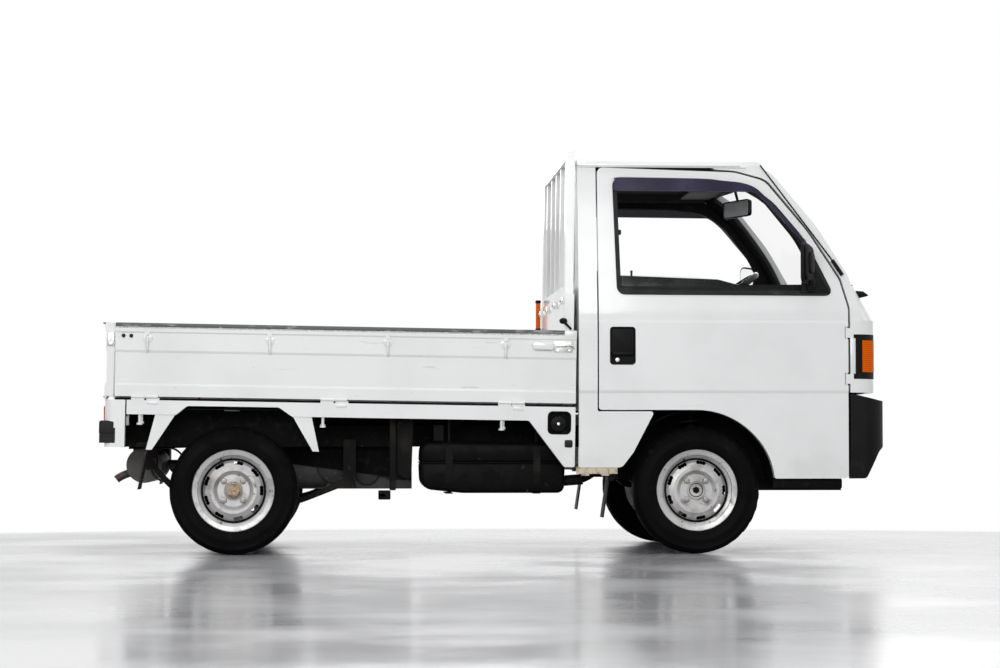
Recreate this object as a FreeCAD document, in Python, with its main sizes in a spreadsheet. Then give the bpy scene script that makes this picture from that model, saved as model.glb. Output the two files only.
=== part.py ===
import FreeCAD, Part

# Kei truck: a small right-hand-drive cab-over truck with a drop-side bed, as an assembly of named pieces.
#
# The frame is +X forward, +Y to the truck's left and +Z up, in millimetres. The origin lies on the ground,
# half way along the truck and on its centreline. The pieces of the right side are drawn first, and the left
# ones are their mirror images. The bed's pieces are drawn level and then tilted together by the bed's pitch.

import math
import os

import Sketcher
from FreeCAD import Rotation, Vector

# Each driving dimension's alias and value: millimetres, degrees for angles, plain numbers for counts.
SIZES = [
    # whole vehicle
    ("overall_length", 3295),
    ("overall_width", 1395),
    ("wheelbase", 1900),
    ("rear_overhang", 541),
    ("track", 1205),
    ("seat_gap", 0.3),
    ("panel_gap", 6),
    ("hinge_side_gap", 8),
    # wheels
    ("tyre_radius", 262),
    ("tyre_width", 145),
    ("tread_width", 120),
    ("shoulder_drop", 9),
    ("rim_width", 114),
    ("flange_radius", 167),
    ("bead_seat_radius", 150),
    ("well_radius", 131),
    ("rim_wall", 4),
    ("disc_wall", 5),
    ("disc_edge_depth", 14),
    ("hub_face_depth", 33),
    ("hub_face_radius", 68),
    ("ridge_depth", 45),
    ("ridge_radius", 86),
    ("vent_count", 9),
    ("vent_circle", 115),
    ("vent_radius", 8),
    ("vent_half_angle", 6),
    ("centre_bore", 29),
    ("nose_radius", 26),
    ("rear_nose_length", 14),
    ("drum_radius", 92),
    ("drum_inner_depth", 22),
    ("spindle_radius", 15),
    ("shaft_clearance", 0.05),
    ("backing_radius", 98),
    ("backing_wall", 6),
    # steering and running gear
    ("king_low_side", 535),
    ("king_low_height", 205),
    ("king_high_side", 470),
    ("king_high_height", 588),
    ("strut_radius", 22),
    ("king_pin_radius", 9),
    ("arm_radius", 13),
    ("arm_boss_radius", 20),
    ("rear_axle_radius", 28),
    ("spring_side", 435),
    ("spring_width", 50),
    ("spring_wall", 20),
    ("muffler_radius", 75),
    ("muffler_height", 362),
    ("muffler_half_length", 260),
    # chassis
    ("rail_inner", 290),
    ("rail_width", 60),
    ("rail_bottom", 440),
    ("rail_top", 530),
    ("front_rail_bottom", 255),
    ("front_rail_top", 319),
    ("front_rail_set", 194),
    ("rail_drop_setback", 363.5),
    ("rail_drop_run", 200),
    ("crossmember_width", 60),
    ("tank_setback", 758.5),
    ("tank_cab_gap", 50),
    ("tank_bottom", 248),
    ("tank_top", 465),
    ("tank_inner", 362),
    ("tank_outer", 630),
    ("engine_setback", 276.5),
    ("engine_length", 460),
    ("engine_bottom", 262),
    ("engine_top", 540),
    ("engine_half_width", 270),
    # bed
    ("bed_pitch", 0.9),
    ("cab_gap", 21),
    ("bed_top", 625),
    ("bed_wall", 40),
    ("beam_depth", 20),
    ("gate_wall", 36),
    ("gate_inset", 19),
    ("gate_bottom", 618),
    ("gate_top", 916),
    ("gate_cab_gap", 12),
    ("gate_press", 7),
    ("hook_drop", 40),
    ("hinge_radius", 7),
    ("hinge_height", 617),
    ("hinge_length", 54),
    ("hinge_pin_radius", 3.5),
    ("hinge_web", 6),
    ("skirt_inset", 7.5),
    ("skirt_top", 603),
    ("skirt_bottom", 545),
    ("rear_arch_top", 582),
    ("filler_bottom", 357),
    ("filler_setback", 80),
    ("filler_width", 94),
    ("filler_height", 537),
    ("rear_skirt_bottom", 411),
    ("rear_skirt_set", 22),
    ("rail_end_gap", 4),
    ("headboard_wall", 40),
    ("headboard_top", 1072),
    ("guard_top", 1665),
    ("guard_tube", 34),
    ("guard_half_width", 618),
    ("guard_bar_spacing", 240),
    ("guard_bar_width", 26),
    ("buffer_bottom", 427),
    ("buffer_top", 489),
    # cab
    ("cab_length", 1343.5),
    ("cab_wall", 45),
    ("cab_back_wall", 38),
    ("roof_wall", 28),
    ("crown_rise", 86),
    ("gutter_height", 1604),
    ("gutter_half_width", 612),
    ("shoulder_drop_from_belt", 78),
    ("sill_height", 356),
    ("crease_drop", 116),
    ("low_crease_height", 672),
    ("crease_depth", 4),
    ("handle_set_in", 45),
    ("handle_width", 106),
    ("handle_drop", 145),
    ("handle_tall", 156),
    ("handle_depth", 26),
    ("cowl_rise", 28),
    ("cowl_wall", 7),
    ("rear_pillar_width", 82),
    ("nose_length", 228.5),
    ("door_bottom", 592),
    ("arch_radius", 322),
    ("door_toe", 310),
    ("door_toe_reach", 318.5),
    ("elbow_drop", 66),
    ("slant_roof_set", 459),
    ("slant_roof_drop", 24),
    ("slant_top_set", 334),
    ("slant_top_drop", 59),
    ("slant_middle_set", 159),
    ("slant_middle_rise", 252),
    ("slant_foot_set", 34),
    ("slant_foot_rise", 52),
    ("roof_set", 12),
    ("pillar_width", 30),
    ("seam_gap", 8),
    ("mirror_set", 190),
    ("mirror_reach", 132),
    ("mirror_tall", 186),
    ("rear_window_half", 500),
    ("belt_height", 1078),
    ("hinge_set_in", 6),
    ("glass_wall", 5),
    ("floor_top", 345),
    ("floor_wall", 25),
    ("platform_top", 621),
    ("riser_reach", 316.5),
    ("firewall_reach", 33),
    ("bumper_bottom", 310),
    ("bumper_top", 658),
    ("lamp_bottom", 720),
    ("lamp_top", 904),
    ("lamp_inner_set", 407.5),
    ("lens_inner_set", 367.5),
    ("lens_outer_set", 132.5),
    ("amber_set", 105.5),
    ("nose_corner_set", 118),
    ("nose_face_set", 67.5),
    ("nose_wall", 26),
    ("nose_flat", 260),
    ("bumper_corner_set", 86),
    ("crown_radius", 4000),
    ("screen_bow", 44),
    # controls and seats
    ("steering_wheel_setback", 480),
    ("steering_wheel_drop", 14),
    ("driver_side", 330),
    ("steering_wheel_radius", 185),
    ("grip_radius", 13),
    ("column_tilt", 35),
    ("column_radius", 24),
    ("seat_half_width", 255),
    ("wiper_reach", 430),
    ("antenna_set", 15.7),
    ("flap_wall", 6),
    ("flap_inner", 545),
    ("wheel_house_set", 146),
    ("seat_setback", 56),
    ("seat_length", 493),
    ("cushion_wall", 140),
    ("seat_back_rise", 112),
]

doc = FreeCAD.newDocument("kei_truck")
sheet = doc.addObject("Spreadsheet::Sheet", "sizes")
for row, (alias, value) in enumerate(SIZES, start=1):
    sheet.set(f"A{row}", alias)
    sheet.set(f"B{row}", str(value))
    sheet.setAlias(f"B{row}", alias)
doc.recompute()


class Size:
    """A length or number that carries the sheet expression that it comes from."""

    def __init__(self, value, text):
        self.value = float(value)
        self.text = text

    def __float__(self):
        return self.value

    def __add__(self, other):
        return Size(self.value + float(other), f"({self.text} + {expression(other)})")

    def __radd__(self, other):
        return Size(float(other) + self.value, f"({expression(other)} + {self.text})")

    def __sub__(self, other):
        return Size(self.value - float(other), f"({self.text} - {expression(other)})")

    def __rsub__(self, other):
        return Size(float(other) - self.value, f"({expression(other)} - {self.text})")

    def __mul__(self, other):
        return Size(self.value * float(other), f"({self.text} * {expression(other)})")

    __rmul__ = __mul__

    def __truediv__(self, other):
        return Size(self.value / float(other), f"({self.text} / {expression(other)})")

    def __rtruediv__(self, other):
        return Size(float(other) / self.value, f"({expression(other)} / {self.text})")

    def __neg__(self):
        return Size(-self.value, f"(0 - {self.text})")


def expression(number):
    """The text of a size or of a plain number."""
    return number.text if isinstance(number, Size) else repr(float(number))


def sine(degrees):
    return Size(math.sin(math.radians(float(degrees))), f"sin({expression(degrees)})")


def cosine(degrees):
    return Size(math.cos(math.radians(float(degrees))), f"cos({expression(degrees)})")


class Sheet:
    """Gives the sheet's cells as sizes, by alias."""

    def __getattr__(self, alias):
        return Size(sheet.get(alias), f"sizes.{alias}")


s = Sheet()
pieces = []


def bind(obj, property_name, value):
    obj.setExpression(property_name, expression(value))


def piece(label, obj):
    """Names a finished sub-part, which then goes to a file of its own."""
    obj.Label = label
    pieces.append(obj)
    return obj


def box(name, x, y, z):
    """A block between the pairs of faces x, y and z."""
    obj = doc.addObject("Part::Box", name)
    for axis, length, (low, high) in (("x", "Length", x), ("y", "Width", y), ("z", "Height", z)):
        bind(obj, "Placement.Base." + axis, low)
        bind(obj, length, high - low)
    return obj


TURNS = {
    "x": Rotation(Vector(0, 1, 0), 90),
    "y": Rotation(Vector(1, 0, 0), -90),
    "z": Rotation(),
}


def rod(name, axis, centre, span, radius):
    """A round bar along an axis, from the first to the second place of its span."""
    obj = doc.addObject("Part::Cylinder", name)
    obj.Placement = FreeCAD.Placement(Vector(), TURNS[axis])
    places = dict(zip([other for other in "xyz" if other != axis], centre))
    places[axis] = span[0]
    for other, place in places.items():
        bind(obj, "Placement.Base." + other, place)
    bind(obj, "Height", span[1] - span[0])
    bind(obj, "Radius", radius)
    return obj


def bar(name, start, end, radius):
    """A round bar between two points, for the directions that no axis gives."""
    start = Vector(*[float(place) for place in start])
    end = Vector(*[float(place) for place in end])
    obj = doc.addObject("Part::Feature", name)
    obj.Shape = Part.makeCylinder(float(radius), start.distanceToPoint(end), start, end - start)
    return obj


def join(name, *parts):
    """One solid from parts that overlap or meet."""
    obj = doc.addObject("Part::MultiFuse", name)
    obj.Shapes = list(parts)
    obj.Refine = True
    return obj


def cut(name, base, *tools):
    obj = doc.addObject("Part::Cut", name)
    obj.Base = base
    obj.Tool = tools[0] if len(tools) == 1 else join(name + "_tools", *tools)
    obj.Refine = True
    return obj


def overlap(name, *parts):
    """What the parts have in common."""
    obj = doc.addObject("Part::MultiCommon", name)
    obj.Shapes = list(parts)
    obj.Refine = True
    return obj


def group(name, *parts):
    """Like solids that don't touch, as one sub-part."""
    obj = doc.addObject("Part::Compound", name)
    obj.Links = list(parts)
    return obj


def mirrored(part):
    obj = doc.addObject("Part::Mirroring", part.Name + "_left")
    obj.Source = part
    obj.Base = Vector(0, 0, 0)
    obj.Normal = Vector(0, 1, 0)
    return obj


def both_sides(part):
    return group(part.Name + "_pair", part, mirrored(part))


def tilted(part):
    """The part turned with the bed, front end down, about the bed's front edge."""
    obj = group(part.Name + "_tilted", part)
    about_y = "rotation(vector(0; 1; 0); sizes.bed_pitch)"
    centre = f"vector({bed_front.text}; 0; {s.bed_top.text})"
    obj.setExpression("Placement", f"placement(vector(0; 0; 0); {about_y}; {centre})")
    return obj


def moved(part, x, y, z):
    """The part set down at a place of its own."""
    obj = group(part.Name + "_set", part)
    for axis, place in zip("xyz", (x, y, z)):
        bind(obj, "Placement.Base." + axis, place)
    return obj


def rounded_ring(corners):
    """Splits corners (u, v, radius) into straight edges' ends and the arcs between them."""
    flat = [Vector(float(u), float(v), 0) for u, v, radius in corners]
    ring = []
    for i, corner in enumerate(flat):
        radius = float(corners[i][2])
        before = (flat[i - 1] - corner).normalize()
        after = (flat[(i + 1) % len(flat)] - corner).normalize()
        half = before.getAngle(after) / 2
        reach = radius / math.tan(half)
        centre = corner + (before + after).normalize() * (radius / math.sin(half)) if radius else corner
        ring.append((corner + before * reach, corner + after * reach, centre, radius))
    return ring


def draw_outline(sketch, corners):
    """Draws a closed outline whose corners and radii are bound to the sheet."""
    corners = [(*corner, 0)[:3] for corner in corners]
    ring = rounded_ring(corners)
    count = len(ring)
    lines = sketch.addGeometry(
        [Part.LineSegment(ring[i][1], ring[(i + 1) % count][0]) for i in range(count)], False
    )

    def hold(kind, *places):
        *geometry, value = places
        index = sketch.addConstraint(Sketcher.Constraint(kind, *geometry, float(value)))
        if isinstance(value, Size):
            sketch.setExpression(f"Constraints[{index}]", value.text)

    for i, (u, v, radius) in enumerate(corners):
        last, following = lines[i - 1], lines[i]
        if float(radius) == 0:
            sketch.addConstraint(Sketcher.Constraint("Coincident", last, 2, following, 1))
            hold("DistanceX", following, 1, u)
            hold("DistanceY", following, 1, v)
            continue
        enter, leave, centre, _ = ring[i]
        left_turn = (enter - centre).cross(leave - centre).z > 0
        start, end = (enter, leave) if left_turn else (leave, enter)
        circle = Part.Circle(centre, Vector(0, 0, 1), float(radius))
        angles = [math.atan2(p.y - centre.y, p.x - centre.x) for p in (start, end)]
        arc = sketch.addGeometry(Part.ArcOfCircle(circle, angles[0], angles[1]), False)
        point = sketch.addGeometry(Part.Point(Vector(float(u), float(v), 0)), True)
        sketch.addConstraint(Sketcher.Constraint("Tangent", last, 2, arc, 1 if left_turn else 2))
        sketch.addConstraint(Sketcher.Constraint("Tangent", following, 1, arc, 2 if left_turn else 1))
        sketch.addConstraint(Sketcher.Constraint("PointOnObject", point, 1, last))
        sketch.addConstraint(Sketcher.Constraint("PointOnObject", point, 1, following))
        hold("DistanceX", point, 1, u)
        hold("DistanceY", point, 1, v)
        hold("Radius", arc, radius)


def sketched_body(name, role, corners):
    """A body with one sketch on its own origin plane."""
    body = doc.addObject("PartDesign::Body", name)
    sketch = body.newObject("Sketcher::SketchObject", name + "_outline")
    plane = next(feature for feature in body.Origin.OriginFeatures if feature.Role == role)
    sketch.AttachmentSupport = (plane, [""])
    sketch.MapMode = "FlatFace"
    doc.recompute([sketch])
    draw_outline(sketch, corners)
    return body, sketch


# plane: the sketch's plane, the axis that its pad runs along, and whether it runs towards plus
PLANES = {
    "xy": ("XY_Plane", "z", True),
    "xz": ("XZ_Plane", "y", False),
    "yz": ("YZ_Plane", "x", True),
}


def pad(name, plane, corners, span):
    """A padded outline between the two places of its span, across the plane."""
    role, axis, towards_plus = PLANES[plane]
    body, sketch = sketched_body(name, role, corners)
    feature = body.newObject("PartDesign::Pad", name + "_pad")
    feature.Profile = sketch
    bind(feature, "Length", span[1] - span[0])
    body.Tip = feature
    bind(body, "Placement.Base." + axis, span[0] if towards_plus else span[1])
    return body


def turned(name, corners):
    """A body turned about its own Y axis; the outline's corners are (radius, place along Y)."""
    body, sketch = sketched_body(name, "XY_Plane", corners)
    feature = body.newObject("PartDesign::Revolution", name + "_turn")
    feature.Profile = sketch
    feature.ReferenceAxis = (sketch, ["V_Axis"])
    feature.Angle = 360
    body.Tip = feature
    return body


half_length = s.overall_length / 2
half_width = s.overall_width / 2
rear_axle_x = s.rear_overhang - half_length
front_axle_x = rear_axle_x + s.wheelbase
cab_back = half_length - s.cab_length
door_back = cab_back + s.rear_pillar_width
door_front = half_length - s.nose_length
nose_back = door_front + s.hinge_side_gap
firewall = door_front + s.firewall_reach
riser_back = front_axle_x + s.riser_reach
door_toe_back = front_axle_x + s.door_toe_reach
bed_front = cab_back - s.cab_gap
gate_front = cab_back - s.gate_cab_gap
tank_back = rear_axle_x + s.tank_setback
tank_front = cab_back - s.tank_cab_gap
engine_back = rear_axle_x + s.engine_setback
engine_front = engine_back + s.engine_length
rail_drop_start = front_axle_x - s.rail_drop_setback
door_top = s.gutter_height - s.panel_gap
roof_crown = s.gutter_height + s.crown_rise
shoulder_height = s.belt_height - s.shoulder_drop_from_belt
crease_height = s.belt_height - s.crease_drop
cowl_height = s.belt_height + s.cowl_rise
steering_wheel_x = door_front - s.steering_wheel_setback
steering_wheel_height = s.belt_height - s.steering_wheel_drop
wheel_side = s.track / 2
gate_outer = half_width - s.gate_inset
gate_inner = gate_outer - s.gate_wall
bed_side = gate_inner - s.panel_gap
tailgate_outer = s.gate_inset - half_length
tailgate_inner = tailgate_outer + s.gate_wall
bed_back = tailgate_inner + s.panel_gap
hinge_side = half_width - s.hinge_radius
tailgate_hinge_x = s.hinge_radius - half_length
bed_underside = s.bed_top - s.bed_wall
skirt_outer = half_width - s.skirt_inset
skirt_inner = bed_side + s.seat_gap
cab_inner = half_width - s.cab_wall
rail_outer = s.rail_inner + s.rail_width


# ------------------------------------------------------------------ wheels


def make_tyre():
    half = s.tyre_width / 2
    tread = s.tread_width / 2
    bead = s.rim_width / 2 - s.rim_wall
    shoulder = s.tyre_radius - s.shoulder_drop
    section = [
        (s.bead_seat_radius + s.seat_gap, -bead),
        (s.flange_radius - 2, -bead),
        (s.flange_radius + 8, -bead - 10),
        (s.flange_radius + 42, -half, 24),
        (shoulder, 2 - half, 12),
        (s.tyre_radius, -tread, 20),
        (s.tyre_radius, tread, 20),
        (shoulder, half - 2, 12),
        (s.flange_radius + 42, half, 24),
        (s.flange_radius + 8, bead + 10),
        (s.flange_radius - 2, bead),
        (s.bead_seat_radius + s.seat_gap, bead),
    ]
    return turned("tyre", section)


def make_rim():
    """A pressed disc wheel: the outline runs over the well and back, with the disc's face to minus Y."""
    lip = s.rim_width / 2 + s.rim_wall
    edge = s.rim_width / 2
    seat = s.rim_width / 2 - s.rim_wall
    wall = s.rim_wall
    disc = s.disc_wall
    section = [
        (s.flange_radius, -lip),
        (s.flange_radius, wall - lip),
        (s.bead_seat_radius, -seat),
        (s.bead_seat_radius, -seat + 20),
        (s.well_radius, -seat + 29),
        (s.well_radius, s.disc_edge_depth),
        (s.bead_seat_radius, s.disc_edge_depth + 10),
        (s.bead_seat_radius, seat),
        (s.flange_radius, edge),
        (s.flange_radius, lip),
        (s.flange_radius - wall, lip),
        (s.bead_seat_radius - wall, edge),
        (s.bead_seat_radius - wall, s.disc_edge_depth + 13),
        (s.well_radius - wall, s.disc_edge_depth + 3),
        (s.well_radius - wall, -s.disc_edge_depth),
        (s.ridge_radius + 20, disc - s.ridge_depth + 8),
        (s.ridge_radius, disc - s.ridge_depth),
        (s.hub_face_radius, disc - s.hub_face_depth),
        (s.centre_bore, disc - s.hub_face_depth),
        (s.centre_bore, -s.hub_face_depth),
        (s.hub_face_radius - 2, -s.hub_face_depth),
        (s.ridge_radius - 4, -s.ridge_depth),
        (s.ridge_radius + 8, -s.ridge_depth),
        (s.ridge_radius + 28, -s.ridge_depth + 8),
        (s.well_radius - wall, -s.disc_edge_depth - 13),
        (s.bead_seat_radius - wall, -seat + 18),
        (s.bead_seat_radius - wall, -edge),
        (s.flange_radius - wall, -lip),
    ]
    vents = []
    for i in range(int(float(s.vent_count))):
        for step in (-1, 0, 1):
            turn = 360 * i / s.vent_count + s.vent_half_angle * step
            centre = (s.vent_circle * cosine(turn), s.vent_circle * sine(turn))
            vents.append(rod("vent", "y", centre, (-lip, wall - s.disc_edge_depth), s.vent_radius))
    return cut("rim", turned("rim_blank", section), *vents)


def make_hub(nose_length):
    """The brake drum with the hub that the wheel bolts to; its nose stands in the disc's bore."""
    face = s.disc_wall - s.hub_face_depth
    drum = rod("drum", "y", (0, 0), (face, s.drum_inner_depth), s.drum_radius)
    nose = rod("nose", "y", (0, 0), (face - nose_length, face + 1), s.nose_radius)
    bore = rod("bore", "y", (0, 0), (face, s.drum_inner_depth), s.spindle_radius + s.shaft_clearance)
    return join("hub_blank", drum, nose), bore


def make_spindle_end():
    """The backing plate and the spindle that a hub turns on, about the wheel's centre."""
    plate_face = s.drum_inner_depth + 1
    face = s.disc_wall - s.hub_face_depth
    plate = rod("backing", "y", (0, 0), (plate_face, plate_face + s.backing_wall), s.backing_radius)
    spindle = rod("spindle", "y", (0, 0), (face + 1, plate_face + 1), s.spindle_radius)
    return join("spindle_end", plate, spindle)


def make_wheels():
    tyre, rim = make_tyre(), make_rim()
    for axle, x, nose_length in (("front", front_axle_x, 2), ("rear", rear_axle_x, s.rear_nose_length)):
        hub, bore = make_hub(nose_length)
        wheel = cut("wheel", join("wheel_blank", rim, hub), bore)
        for name, part in (("tyre", tyre), ("rim", wheel)):
            right = moved(part, x, -wheel_side, s.tyre_radius)
            piece(f"{name}_{axle}_right", right)
            piece(f"{name}_{axle}_left", mirrored(right))


# ------------------------------------------------------------------ steering and running gear


def king_point(reach):
    """A point on the right steering axis: 0 is the lower ball joint and 1 the strut's top."""
    side = s.king_low_side + (s.king_high_side - s.king_low_side) * reach
    height = s.king_low_height + (s.king_high_height - s.king_low_height) * reach
    return front_axle_x, -side, height


def make_knuckles():
    plate_back = s.drum_inner_depth + 1 + s.backing_wall
    upright = box("upright", (-32, 32), (plate_back - 1, plate_back + 22), (-30, 95))
    end = moved(join("upright_end", make_spindle_end(), upright), front_axle_x, -wheel_side, s.tyre_radius)
    strut = bar("strut", king_point(0.16), king_point(0.93), s.strut_radius)
    lower_pin = bar("lower_pin", king_point(-0.035), king_point(0.2), s.king_pin_radius)
    upper_pin = bar("upper_pin", king_point(0.9), king_point(1.0), s.king_pin_radius)
    arm = box("steering_arm", (front_axle_x + 20, front_axle_x + 130), (-545, -525), (240, 260))
    carrier = box("carrier", (front_axle_x - 25, front_axle_x + 25), (-574, -503), (239, 330))
    right = join("knuckle", end, strut, lower_pin, upper_pin, arm, carrier)
    piece("knuckle_right", right)
    piece("knuckle_left", mirrored(right))


def make_front_arms():
    """The lower arms, their ball-joint bosses and the rods that run forward to the rails."""
    low, high = king_point(-0.03), king_point(0.03)
    boss = bar("boss", low, high, s.arm_boss_radius)
    inner = -(rail_outer + s.seat_gap)
    arm_end = (front_axle_x, -s.king_low_side + 12, s.king_low_height + 2)
    arm = bar("arm", (front_axle_x, inner - 8, 275), arm_end, s.arm_radius)
    mount = box("arm_mount", (front_axle_x - 30, front_axle_x + 30), (inner - 14, inner), (258, 300))
    brace_start = (front_axle_x, inner - 62, 252)
    brace = bar("brace", brace_start, (front_axle_x + 262, inner - 13, 262), s.arm_radius - 2)
    clamp = box("brace_mount", (front_axle_x + 240, front_axle_x + 290), (inner - 24, inner), (240, 292))
    bore = bar("bore", king_point(-0.1), king_point(0.1), s.king_pin_radius + s.seat_gap)
    right = cut("front_arm", join("front_arm_blank", boss, arm, mount, brace, clamp), bore)
    piece("front_arms", both_sides(right))


def make_rear_axle():
    inner = wheel_side - s.drum_inner_depth - 1
    tube = rod("axle_tube", "y", (rear_axle_x, s.tyre_radius), (-inner, inner), s.rear_axle_radius)
    right = moved(make_spindle_end(), rear_axle_x, -wheel_side, s.tyre_radius)
    piece("rear_axle", join("rear_axle_whole", tube, right, mirrored(right)))


def make_leaf_springs():
    """Springs slung under the axle, with a hanger at the front and a shackle at the back."""
    low = s.tyre_radius - s.rear_axle_radius - s.seat_gap
    wall = s.spring_wall
    span = (-s.spring_side - s.spring_width / 2, -s.spring_side + s.spring_width / 2)
    eye_front, eye_back = rear_axle_x + 455, rear_axle_x - 335
    leaf = pad(
        "leaf",
        "xz",
        [
            (eye_front, 310),
            (rear_axle_x + 250, low - 18, 300),
            (rear_axle_x + 60, low),
            (rear_axle_x - 60, low),
            (rear_axle_x - 220, low - 8, 300),
            (eye_back, 372),
            (eye_back, 372 - wall - 12),
            (rear_axle_x - 220, low - wall - 12, 300),
            (rear_axle_x - 60, low - 2 * wall),
            (rear_axle_x + 60, low - 2 * wall),
            (rear_axle_x + 250, low - wall - 16, 300),
            (eye_front, 290 - 12),
        ],
        span,
    )
    mount_top = s.rail_bottom + 30
    mount_side = (span[0], -rail_outer - s.seat_gap)
    hanger = box("hanger", (eye_front - 8, eye_front + 44), mount_side, (272, mount_top))
    shackle = box("shackle", (eye_back - 34, eye_back + 8), mount_side, (345, mount_top))
    piece("leaf_springs", both_sides(join("leaf_spring", leaf, hanger, shackle)))


def make_muffler():
    x = rear_axle_x - 392
    length = (-s.muffler_half_length, s.muffler_half_length)
    can = rod("can", "y", (x, s.muffler_height), length, s.muffler_radius)
    strap_top = s.rail_bottom - s.seat_gap
    strap = box("strap", (x - 58, x - 46), (-120, 120), (s.muffler_height + 40, strap_top))
    pipe = rod("pipe", "x", (180, s.muffler_height), (x, rear_axle_x - 120), 19)
    piece("muffler", join("muffler_whole", can, strap, pipe))


def make_engine():
    block = box(
        "engine_block_body",
        (engine_back, engine_front),
        (-s.engine_half_width, s.engine_half_width),
        (s.engine_bottom, s.engine_top),
    )
    gearbox = box("gearbox", (engine_back - 170, engine_back), (-150, 150), (320, 500))
    reach = s.rail_inner - s.seat_gap
    middle = (engine_back + engine_front) / 2
    mount_height = (s.rail_bottom + 15, s.rail_top - 30)
    mounts = box("engine_mounts", (middle - 40, middle + 40), (-reach, reach), mount_height)
    piece("engine_block", join("engine", block, gearbox, mounts))


def make_fuel_tank():
    corner = 40
    tank = pad(
        "tank",
        "yz",
        [
            (-s.tank_outer, s.tank_bottom, corner),
            (-s.tank_outer, s.tank_top, corner),
            (-s.tank_inner, s.tank_top, corner),
            (-s.tank_inner, s.tank_bottom, corner),
        ],
        (tank_back, tank_front),
    )
    piece("fuel_tank", tank)


# ------------------------------------------------------------------ chassis


def make_chassis():
    front_end = half_length - s.front_rail_set
    back_end = bed_back - s.rail_end_gap
    rail = pad(
        "rail",
        "xz",
        [
            (back_end, s.rail_bottom),
            (back_end, s.rail_top),
            (rail_drop_start, s.rail_top, 60),
            (rail_drop_start + s.rail_drop_run, s.front_rail_top, 60),
            (front_end, s.front_rail_top),
            (front_end, s.front_rail_bottom),
            (rail_drop_start + s.rail_drop_run - 30, s.front_rail_bottom, 60),
            (rail_drop_start - 30, s.rail_bottom, 60),
        ],
        (-rail_outer, -s.rail_inner),
    )
    parts = [rail, mirrored(rail)]
    # each crossmember: the X of its back face, its bottom and its top
    for x, low, high in (
        (back_end, s.rail_bottom, s.rail_top),
        (engine_front + 60, s.rail_bottom, s.rail_top),
        (rail_drop_start - 90, s.rail_bottom, s.rail_top),
        (front_end - s.crossmember_width, s.front_rail_bottom, s.front_rail_top),
    ):
        span = (x, x + s.crossmember_width)
        parts.append(box("crossmember", span, (-s.rail_inner, s.rail_inner), (low, high)))
    outrigger_bottom = s.tank_top + s.seat_gap
    for x in (tank_back + 60, tank_front - 100):
        side = (-s.tank_outer + 30, -rail_outer)
        right = box("outrigger", (x, x + 40), side, (outrigger_bottom, s.rail_top))
        parts += [right, mirrored(right)]
    # pads under the bed's crossbeams, which take up the bed's pitch
    slope = sine(s.bed_pitch) / cosine(s.bed_pitch)
    for x in beam_places():
        beam_front = x + s.crossmember_width
        top = bed_underside - s.seat_gap + (bed_front - beam_front) * slope - s.beam_depth
        right = box("bed_pad", (x, beam_front), (-rail_outer, -s.rail_inner), (s.rail_top - 1, top))
        parts += [right, mirrored(right)]
    piece("chassis_frame", join("chassis", *parts))


def beam_places():
    """The back faces of the bed's crossbeams."""
    return [bed_back + 60, rear_axle_x - 40, engine_front - 60, tank_back + 130, bed_front - 120]


# ------------------------------------------------------------------ bed


def make_bed_floor():
    span = (bed_back, bed_front - s.headboard_wall - s.seat_gap)
    floor = box("floor", span, (-bed_side, bed_side), (bed_underside, s.bed_top))
    beam_side = bed_side - 40
    beams = [
        box(
            "beam",
            (x, x + s.crossmember_width),
            (-beam_side, beam_side),
            (bed_underside - s.beam_depth, bed_underside),
        )
        for x in beam_places()
    ]
    piece("bed_floor", tilted(join("bed_floor_level", floor, *beams)))


HINGE_PLACES = (-1465, -699, 27)
TAILGATE_HINGES = (-470, 0, 470)


def make_skirts():
    """The side valances under the gates, with their half of each hinge and the mud flaps' legs."""
    right = pad(
        "skirt",
        "xz",
        [
            (bed_back + 50, s.skirt_top),
            (gate_front - 2, s.skirt_top),
            (gate_front - 2, s.filler_bottom, 8),
            (gate_front - 45, s.filler_bottom, 12),
            (gate_front - 192, s.skirt_bottom, 12),
            (rear_axle_x + 240, s.skirt_bottom),
            (rear_axle_x + 185, s.rear_arch_top, 20),
            (rear_axle_x - 185, s.rear_arch_top, 20),
            (rear_axle_x - 231, s.skirt_bottom),
            (bed_back + 50, s.skirt_bottom),
        ],
        (-skirt_outer, -skirt_inner),
    )
    legs = [
        pad(
            "back_leg",
            "xz",
            [
                (rear_axle_x - 313, s.skirt_bottom + 5),
                (rear_axle_x - 231, s.skirt_bottom + 5),
                (rear_axle_x - 326, s.skirt_bottom - 143),
                (rear_axle_x - 350, s.skirt_bottom - 143),
            ],
            (-skirt_outer + 6, -skirt_outer + 14),
        ),
        pad(
            "front_leg",
            "xz",
            [
                (rear_axle_x + 240, s.skirt_bottom + 5),
                (rear_axle_x + 318, s.skirt_bottom + 5),
                (rear_axle_x + 351, s.skirt_bottom - 140),
                (rear_axle_x + 326, s.skirt_bottom - 140),
            ],
            (-skirt_outer + 6, -skirt_outer + 14),
        ),
    ]
    hinges = [skirt_hinge(x) for x in HINGE_PLACES]
    pegs = [rope_peg(x) for x in (-1484, -742, -12)]
    whole = join("skirt_whole", right, *legs, *pegs, *hinges)
    recess, cap = filler(cab_back - s.filler_setback)
    filler_side = join("filler_side", cut("skirt_cut", whole, recess), cap)
    piece("bed_skirts", tilted(group("skirts", filler_side, mirrored(whole))))


def filler(x):
    """The square recess in the right skirt and the fuel cap that stands in it."""
    half = s.filler_width / 2
    low, high = s.filler_height - half, s.filler_height + half
    corners = [(x - half, low, 18), (x + half, low, 18), (x + half, high, 18), (x - half, high, 18)]
    recess = pad("filler_recess", "xz", corners, (-skirt_outer - 1, -skirt_outer + 22))
    cap_span = (-skirt_outer + 4, -skirt_outer + 23)
    cap = rod("cap", "y", (x - 4, s.filler_height - 8), cap_span, 27)
    return recess, cap


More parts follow.
